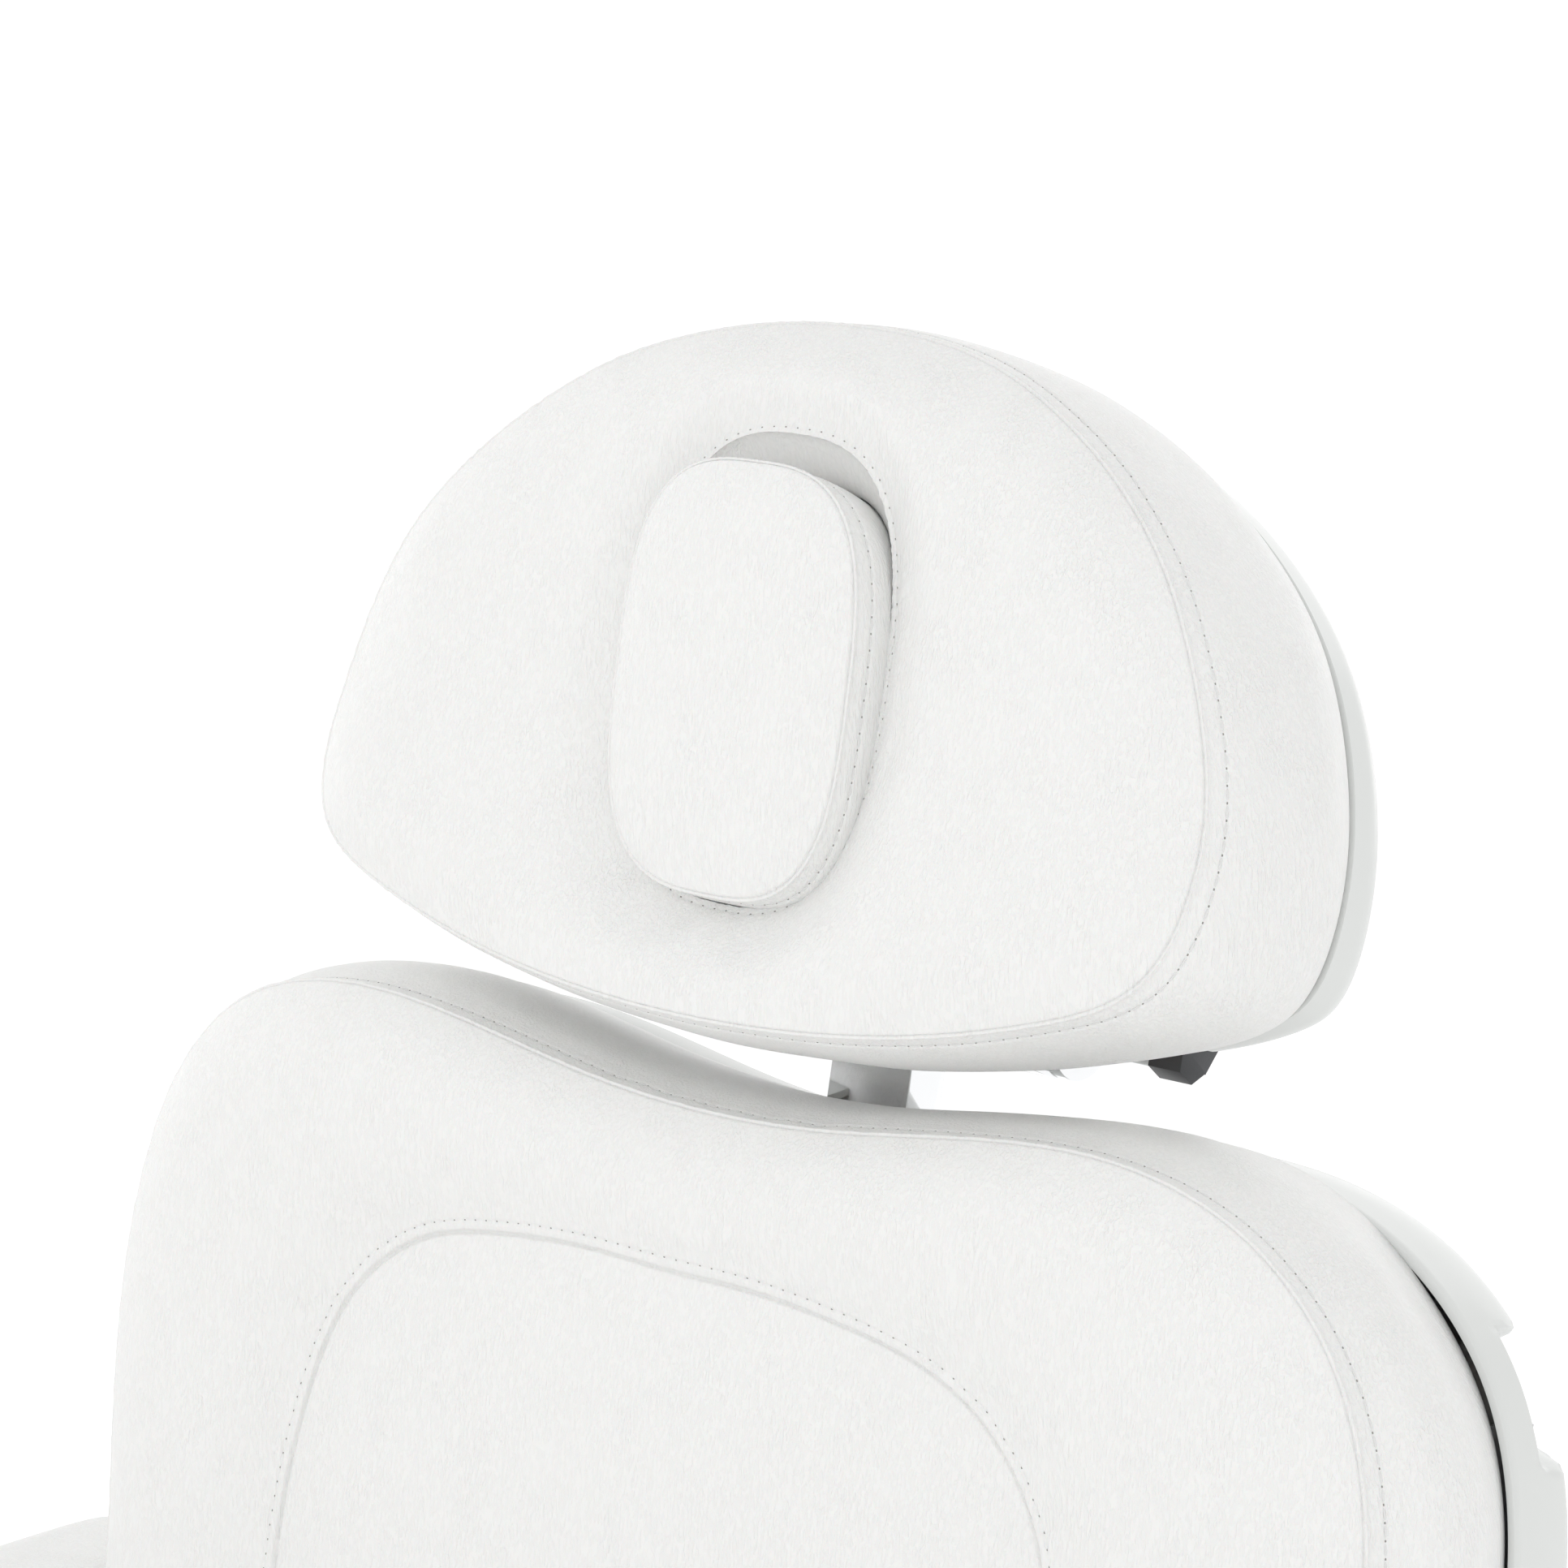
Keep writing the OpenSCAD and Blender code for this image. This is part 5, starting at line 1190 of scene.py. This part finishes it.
def plywood():
    """Birch plywood: long fibres on the faces and thin dark glue lines on the edges."""
    def build(tree, shader):
        place = tree.place()
        fibre = tree.noise(tree.stretched(place, (160.0, 160.0, 9.0)), 1.0, 4.0, 0.6, 0.4)
        layers = tree.add("ShaderNodeTexWave", {
            "Vector": place, "Scale": 110.0, "Distortion": 0.6, "Detail": 1.0},
            bands_direction="Y").outputs["Fac"]
        value = tree.math("MULTIPLY", fibre, tree.span(layers, 0.0, 0.25, 0.75, 1.0))
        tree.feed(shader, {
            "Base Color": tree.tint((0.62, 0.44, 0.26), value, 0.55, 1.2),
            "Roughness": tree.span(fibre, 0.3, 0.7, 0.5, 0.68),
            "Normal": tree.bump(fibre, 0.2, 0.15 * MM)})
    return finish("Birch plywood", build)


def shell_finish(colours):
    """The satin paint that all shells and covers share."""
    return coated("Shell paint", colours.shell, 0.34, 700.0, 0.12, coat=0.25)


def dress(obj, material, body=None, nodes=()):
    """Gives a piece its material and its slot, and puts it in place of its CAD nodes."""
    obj.data.materials.clear()
    obj.data.materials.append(material)
    if nodes:
        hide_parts(*nodes)
    if body:
        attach(obj, body)
    return obj


def dress_pad(pieces, node, colours):
    """Gives a pad, its stitches and its beads of painted needle-hole shade their materials, in the CAD
    pad's place. The shade beads take a dark copy of the thread material.
    """
    pad, *rows = pieces
    dress(pad, leather(colours.leather), BODY_OF[node], [node])
    # The second kind is painted shade: a dark copy of the thread that stands for the shadow in the
    # needle holes
    kinds = (("Sewing thread", colours.thread), ("Needle hole shadow", colours.hole_shadow))
    for row, (name, colour) in zip(rows, kinds):
        dress(row, thread_material(name, colour), BODY_OF[node])
        row.parent = pad
        row.matrix_parent_inverse.identity()


def dress_nodes(nodes, width, material):
    """Small bevels and one finish for several CAD nodes."""
    for node in nodes.split():
        dress(softened(node, width), material)


class Maker:
    """Lets an operator make its pieces from the sizes and colours that the user chose."""

    def execute(self, context):
        self.make(context.scene.chair_sizes, context.scene.chair_colours)
        return {"FINISHED"}


class CHAIR_OT_backrest_pad(Maker, bpy.types.Operator):
    """Sews the backrest pad with its rolled border and inner panel"""
    bl_idname = "chair.backrest_pad"
    bl_label = "Backrest pad"

    def make(self, sizes, colours):
        plan = PanelPad(BACK, BACK_OUTLINE, BACK_PANEL, sizes.back_width / 2, PAD_FOOT, BACK_TOP,
                        BACK_WANDER, BACK_LIFT)
        dress_pad(plan.build("Backrest_pad", sizes, 3), "backrest_cushion", colours)


class CHAIR_OT_leg_pad(Maker, bpy.types.Operator):
    """Sews the leg rest pad with its rolled border and inner panel"""
    bl_idname = "chair.leg_pad"
    bl_label = "Leg rest pad"

    def make(self, sizes, colours):
        plan = PanelPad(LEG, LEG_OUTLINE, LEG_PANEL, sizes.leg_width / 2, PAD_FOOT, LEG_END,
                        LEG_WANDER, LEG_LIFT)
        dress_pad(plan.build("Leg_rest_pad", sizes, 17), "legrest_cushion", colours)


class CHAIR_OT_headrest_pad(Maker, bpy.types.Operator):
    """Sews the headrest's ring of padding round its face hole"""
    bl_idname = "chair.headrest_pad"
    bl_label = "Headrest pad"

    def make(self, sizes, colours):
        pieces = HeadPad(sizes.head_width).build("Headrest_pad", sizes, 29)
        dress_pad(pieces, "headrest_cushion", colours)


class CHAIR_OT_headrest_plug(Maker, bpy.types.Operator):
    """Sews the plug that fills the face hole"""
    bl_idname = "chair.headrest_plug"
    bl_label = "Face hole plug"

    def make(self, sizes, colours):
        turn = np.linspace(-math.pi / 2, 1.5 * math.pi, 96, endpoint=False)
        directions = np.stack([np.cos(turn), np.sin(turn)], 1) - (0, PLUG_LOW)
        line = closed_curve(plug_outline(0.0, directions), 420)
        pieces = capped_pad(
            "Face_hole_plug", HEAD, line, HEAD_BACK, -PLUG_PROUD, PLUG_CROWN, PLUG_ROLL, PLUG_BULGE,
            PLUG_PROUD + PLUG_SWOLLEN, sizes, 41, PLUG_LEAN)
        dress_pad(pieces, "headrest_plug", colours)


class CHAIR_OT_seat_pad(Maker, bpy.types.Operator):
    """Sews the seat pad, rolled over both hinge lines"""
    bl_idname = "chair.seat_pad"
    bl_label = "Seat pad"

    def make(self, sizes, colours):
        dress_pad(seat_pad("Seat_pad", sizes, 53), "seat_cushion", colours)


class CHAIR_OT_arm_pads(Maker, bpy.types.Operator):
    """Sews both armrest pads"""
    bl_idname = "chair.arm_pads"
    bl_label = "Armrest pads"

    def make(self, sizes, colours):
        for side, seed in (("left", 61), ("right", 65)):
            node = f"arm_pad_{side}"
            low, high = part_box(node)
            middle = (low + high) / 2
            width, length = high.x - low.x, high.y - low.y
            axes = Leaning((middle.x, middle.y, 0.0), (0.0, 1.0, 0.0))
            line = rounded_rectangle(width / 2 - ARM_BULGE, length / 2 - ARM_BULGE,
                                     ARM_CORNER_SHARE * width - ARM_BULGE, 480)
            seam = high.z - ARM_CROWN
            pieces = capped_pad(f"Armrest_pad_{side}", axes, line, -low.z, -seam, ARM_CROWN, ARM_ROLL,
                                ARM_BULGE, seam - low.z, sizes, seed)
            dress_pad(pieces, node, colours)


# Openings of the shells, in their axes: half widths, places across, depths and rises
FAR, SHELL_FRONT, FRAME_BACK, SHELL_FOOT = 200 * MM, 20 * MM, 57 * MM, 106 * MM
CRANK, CRANK_HALF, CRANK_TOP = 130 * MM, 36 * MM, 150 * MM
PLATE, PLATE_TOP = 302 * MM, 152 * MM
GUIDE_HALF, GUIDE_LOW, GUIDE_BACK = 25.5 * MM, 544 * MM, 60.2 * MM
KNOB_HALF, KNOB_RISE = 13 * MM, 500 * MM
PIN_HALF, PIN_DEPTH, PIN_RISE = 10 * MM, 44.5 * MM, 256 * MM
NECK_LEFT, NECK_RIGHT, NECK_TOP = -108 * MM, 172.5 * MM, -58 * MM


def both_sides(depths, rises):
    """Boxes from the hinge plates outwards, at both sides."""
    return [((low, depths[0], rises[0]), (high, depths[1], rises[1]))
            for low, high in ((-2 * FAR, -PLATE), (PLATE, 2 * FAR))]


def crank_window(middle):
    """The box in which a crank swings."""
    return (middle - CRANK_HALF, 0, 0), (middle + CRANK_HALF, FAR, CRANK_TOP)


class CHAIR_OT_rear_shells(Maker, bpy.types.Operator):
    """Moulds the shells behind the backrest, the headrest and the leg rest"""
    bl_idname = "chair.rear_shells"
    bl_label = "Rear shells"

    def make(self, sizes, colours):
        back = tray("Backrest_shell_skin", BACK, BACK_OUTLINE, sizes.back_width / 2, BACK_TOP, grip=True)
        leg = tray("Leg_rest_shell_skin", LEG, LEG_OUTLINE, sizes.leg_width / 2, LEG_END)
        head = head_shell("Headrest_shell_skin", sizes.head_width)
        depths = (SHELL_FRONT, FRAME_BACK + 2 * MM)
        foot = [((-2 * FAR, depths[0], 0), (2 * FAR, depths[1], SHELL_FOOT))]
        foot += both_sides(depths, (0, PLATE_TOP))
        windows = [crank_window(-CRANK), crank_window(CRANK)]
        pins = both_sides((PIN_DEPTH - PIN_HALF, PIN_DEPTH + PIN_HALF),
                          (PIN_RISE - PIN_HALF, PIN_RISE + PIN_HALF))
        guide = ((-GUIDE_HALF, SHELL_FRONT, GUIDE_LOW), (GUIDE_HALF, GUIDE_BACK, 4 * FAR))
        knob = ((-KNOB_HALF, FRAME_BACK, KNOB_RISE - KNOB_HALF),
                (KNOB_HALF, FAR, KNOB_RISE + KNOB_HALF))
        neck = ((NECK_LEFT, HEAD_BACK + BOARD, -2 * FAR), (NECK_RIGHT, FAR, NECK_TOP))
        paint = shell_finish(colours)
        for shell, axes, boxes, node in (
                (back, BACK, [*foot, *windows, *pins, guide, knob], "backrest_shell"),
                (leg, LEG, [*foot, windows[0]], "legrest_shell"),
                (head, HEAD, [neck], "headrest_shell")):
            carved(shell, axes, boxes)
            dress(shell, paint, BODY_OF[node], [node])


class CHAIR_OT_covers(Maker, bpy.types.Operator):
    """Moulds the base cover, the column's shrouds and the hinge covers"""
    bl_idname = "chair.covers"
    bl_label = "Covers"

    def make(self, sizes, colours):
        paint = shell_finish(colours)
        dress(base_shroud("Base_shroud"), paint, "base", ["base_cover"])
        for node in ("shroud_lower", "shroud_upper"):
            low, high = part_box(node)
            made = rounded_tube(node.title() + "_skin", (low.y + high.y) / 2, low.z, high.z,
                                high.x - low.x, SHELL_WALL, 9 * MM)
            dress(made, paint, BODY_OF[node], [node])
        dress_nodes("side_cover_left side_cover_right", 1.2 * MM, paint)


class CHAIR_OT_bright_metal(Maker, bpy.types.Operator):
    """Plates the headrest bar, its clamp and pin, and the actuator rods"""
    bl_idname = "chair.bright_metal"
    bl_label = "Bright metal"

    def make(self, sizes, colours):
        edge = sizes.edge_softness
        dress_nodes("headrest_bar tilt_clamp lift_rod back_rod leg_rod headrest_pin", edge * 1.6,
                    plated("Chrome plate", colours.chrome, 0.07))
        dress_nodes("seat_bolts backrest_bolts legrest_bolts rear_hinge_pins front_hinge_pins"
                    " armrest_pins", edge * 0.6,
                    plated("Zinc plate", (0.56, 0.57, 0.58), 0.32))


class CHAIR_OT_painted_steel(Maker, bpy.types.Operator):
    """Coats the frames, the lift column and the armrest tubes"""
    bl_idname = "chair.painted_steel"
    bl_label = "Painted steel"

    def make(self, sizes, colours):
        dress_nodes("base_frame column_outer column_inner lift_head seat_frame backrest_frame"
                    " legrest_frame bar_guide headrest_bracket arm_left arm_right", sizes.edge_softness,
                    coated("Powder coat", colours.steel, 0.42, 1500.0, 0.35))


class CHAIR_OT_boards(Maker, bpy.types.Operator):
    """Finishes the plywood boards that carry the pads"""
    bl_idname = "chair.boards"
    bl_label = "Boards"

    def make(self, sizes, colours):
        dress_nodes("seat_board backrest_board headrest_board legrest_board arm_board_left"
                    " arm_board_right", 0.6 * MM, plywood())


class CHAIR_OT_dark_parts(Maker, bpy.types.Operator):
    """Finishes the tilt lever, the knob, the motor bodies, the sockets and the feet"""
    bl_idname = "chair.dark_parts"
    bl_label = "Dark parts"

    def make(self, sizes, colours):
        edge = sizes.edge_softness
        plastic = coated("Dark plastic", colours.plastic, 0.42, 1100.0, 0.4)
        for nodes, width in (
                ("tilt_lever height_knob", edge * 1.4),
                ("control_box back_actuator leg_actuator lift_motor_tube bar_end_cap mains_inlet"
                 " handset_socket", edge),
                ("upper_glides lower_glides", 0.3 * MM)):
            dress_nodes(nodes, width, plastic)
        rubber = coated("Black rubber", (0.028, 0.028, 0.028), 0.7, 700.0, 0.5)
        dress_nodes("levelling_feet", edge, rubber)


VIEW_AZIMUTH, VIEW_ELEVATION = math.radians(43.16), math.radians(11.37)
VIEW_DISTANCE, VIEW_LENS = 1.969, 123.4
# The picture's middle, from the face hole's middle: to the right and up
VIEW_RIGHT, VIEW_UP = 8.4 * MM, -41.7 * MM
FLOOR_FLAT, FLOOR_RISE, FLOOR_START = 6.0, 2.0, 0.3
# Rows of [name, place, watts]
LAMPS = (("Key", (-1.2, -2.6, 3.3), 11), ("Front", (2.1, -2.5, 1.3), 7.5),
         ("Rear", (-0.9, 3.2, 1.9), 9), ("Left", (-3.2, 0.6, 1.9), 9.5))
LAMP_SIDE, LAMP_AIM, WORLD_STRENGTH = 2.4, Vector((0.0, 0.2, 1.0)), 0.92


def floor_sweep(name):
    """A round floor that runs up at its edge in an arc: radius FLOOR_FLAT + FLOOR_RISE sin a, height
    FLOOR_RISE (1 - cos a)."""
    turn = np.linspace(0, 2 * math.pi, 96, endpoint=False)
    arc = np.linspace(0, math.radians(80), 14)
    radii = np.concatenate(
        [np.linspace(FLOOR_START, FLOOR_FLAT, 14), FLOOR_FLAT + FLOOR_RISE * np.sin(arc)])
    heights = np.concatenate([np.zeros(14), FLOOR_RISE * (1 - np.cos(arc))])
    circle = np.stack([np.cos(turn), np.sin(turn)], 1)
    rings = [at_height(circle * r, h) for r, h in zip(radii, heights)]
    index = np.arange(28 * 96).reshape(28, 96)
    low, high = index[:-1], index[1:]
    faces = np.stack([high, np.roll(high, -1, 1), np.roll(low, -1, 1), low], -1).reshape(-1, 4)
    return mesh_object(name, np.vstack(rings), faces.tolist() + [index[0].tolist()])


def floor_paint(tree, shader):
    """Pale matt paint that glows a little, so that the floor fades into the background."""
    tree.feed(shader, {
        "Base Color": tree.tint((0.93, 0.93, 0.93), tree.noise(tree.place(), 2.0), 0.99, 1.0),
        "Roughness": 0.6, "Emission Color": (1, 1, 1, 1), "Emission Strength": 0.16})


class CHAIR_OT_studio(bpy.types.Operator):
    """Sets up the pale seamless floor, the soft lights and the camera"""
    bl_idname = "chair.studio"
    bl_label = "Studio"

    def execute(self, context):
        scene = context.scene
        scene.view_settings.view_transform = "Standard"
        sweep = floor_sweep("Floor_sweep")
        sweep.data.materials.append(finish("Floor paint", floor_paint))
        scene.world = bpy.data.worlds.new("Studio air")
        scene.world.use_nodes = True
        Tree(scene.world.node_tree).feed(scene.world.node_tree.nodes["Background"], {
            "Color": (1, 1, 1, 1), "Strength": WORLD_STRENGTH})
        for name, place, watts in LAMPS:
            lamp = bpy.data.lights.new(name, "AREA")
            lamp.shape = "SQUARE"
            lamp.size = LAMP_SIDE
            lamp.energy = watts
            holder = linked(name, lamp)
            holder.location = place
            holder.rotation_euler = (LAMP_AIM - Vector(place)).to_track_quat("-Z", "Y").to_euler()
        sa, ca = math.sin(VIEW_AZIMUTH), math.cos(VIEW_AZIMUTH)
        se, ce = math.sin(VIEW_ELEVATION), math.cos(VIEW_ELEVATION)
        back, right = Vector((sa * ce, -ca * ce, se)), Vector((ca, sa, 0.0))
        up = Vector((-se * sa, se * ca, ce))
        aim = Vector(HEAD.origin) + right * VIEW_RIGHT + up * VIEW_UP
        camera = linked("Camera", bpy.data.cameras.new("Camera"))
        camera.data.lens = VIEW_LENS
        camera.data.clip_end = 60
        camera.location = aim + back * VIEW_DISTANCE
        camera.rotation_euler = back.to_track_quat("Z", "Y").to_euler()
        scene.camera = camera
        return {"FINISHED"}


PIECES = (
    CHAIR_OT_backrest_pad, CHAIR_OT_headrest_pad, CHAIR_OT_headrest_plug, CHAIR_OT_seat_pad,
    CHAIR_OT_leg_pad, CHAIR_OT_arm_pads, CHAIR_OT_rear_shells, CHAIR_OT_covers,
    CHAIR_OT_bright_metal, CHAIR_OT_painted_steel, CHAIR_OT_boards, CHAIR_OT_dark_parts,
    CHAIR_OT_studio)


class CHAIR_PT_pieces(bpy.types.Panel):
    """Lists the chair's sizes, colours and pieces"""
    bl_idname = "CHAIR_PT_pieces"
    bl_label = "Treatment chair"
    bl_space_type = "VIEW_3D"
    bl_region_type = "UI"
    bl_category = "Chair"

    def draw(self, context):
        layout = self.layout
        for group in (context.scene.chair_sizes, context.scene.chair_colours):
            for name in group.__annotations__:
                layout.prop(group, name)
        for piece in PIECES:
            layout.operator(piece.bl_idname)


CLASSES = (ChairSizes, ChairColours, *PIECES, CHAIR_PT_pieces)


def register():
    for item in CLASSES:
        bpy.utils.register_class(item)
    bpy.types.Scene.chair_sizes = bpy.props.PointerProperty(type=ChairSizes)
    bpy.types.Scene.chair_colours = bpy.props.PointerProperty(type=ChairColours)


def unregister():
    del bpy.types.Scene.chair_colours
    del bpy.types.Scene.chair_sizes
    for item in reversed(CLASSES):
        bpy.utils.unregister_class(item)


def main():
    """Makes every piece and the studio."""
    register()
    for piece in PIECES:
        group, name = piece.bl_idname.split(".")
        getattr(getattr(bpy.ops, group), name)()


if __name__ == "__main__":
    main()
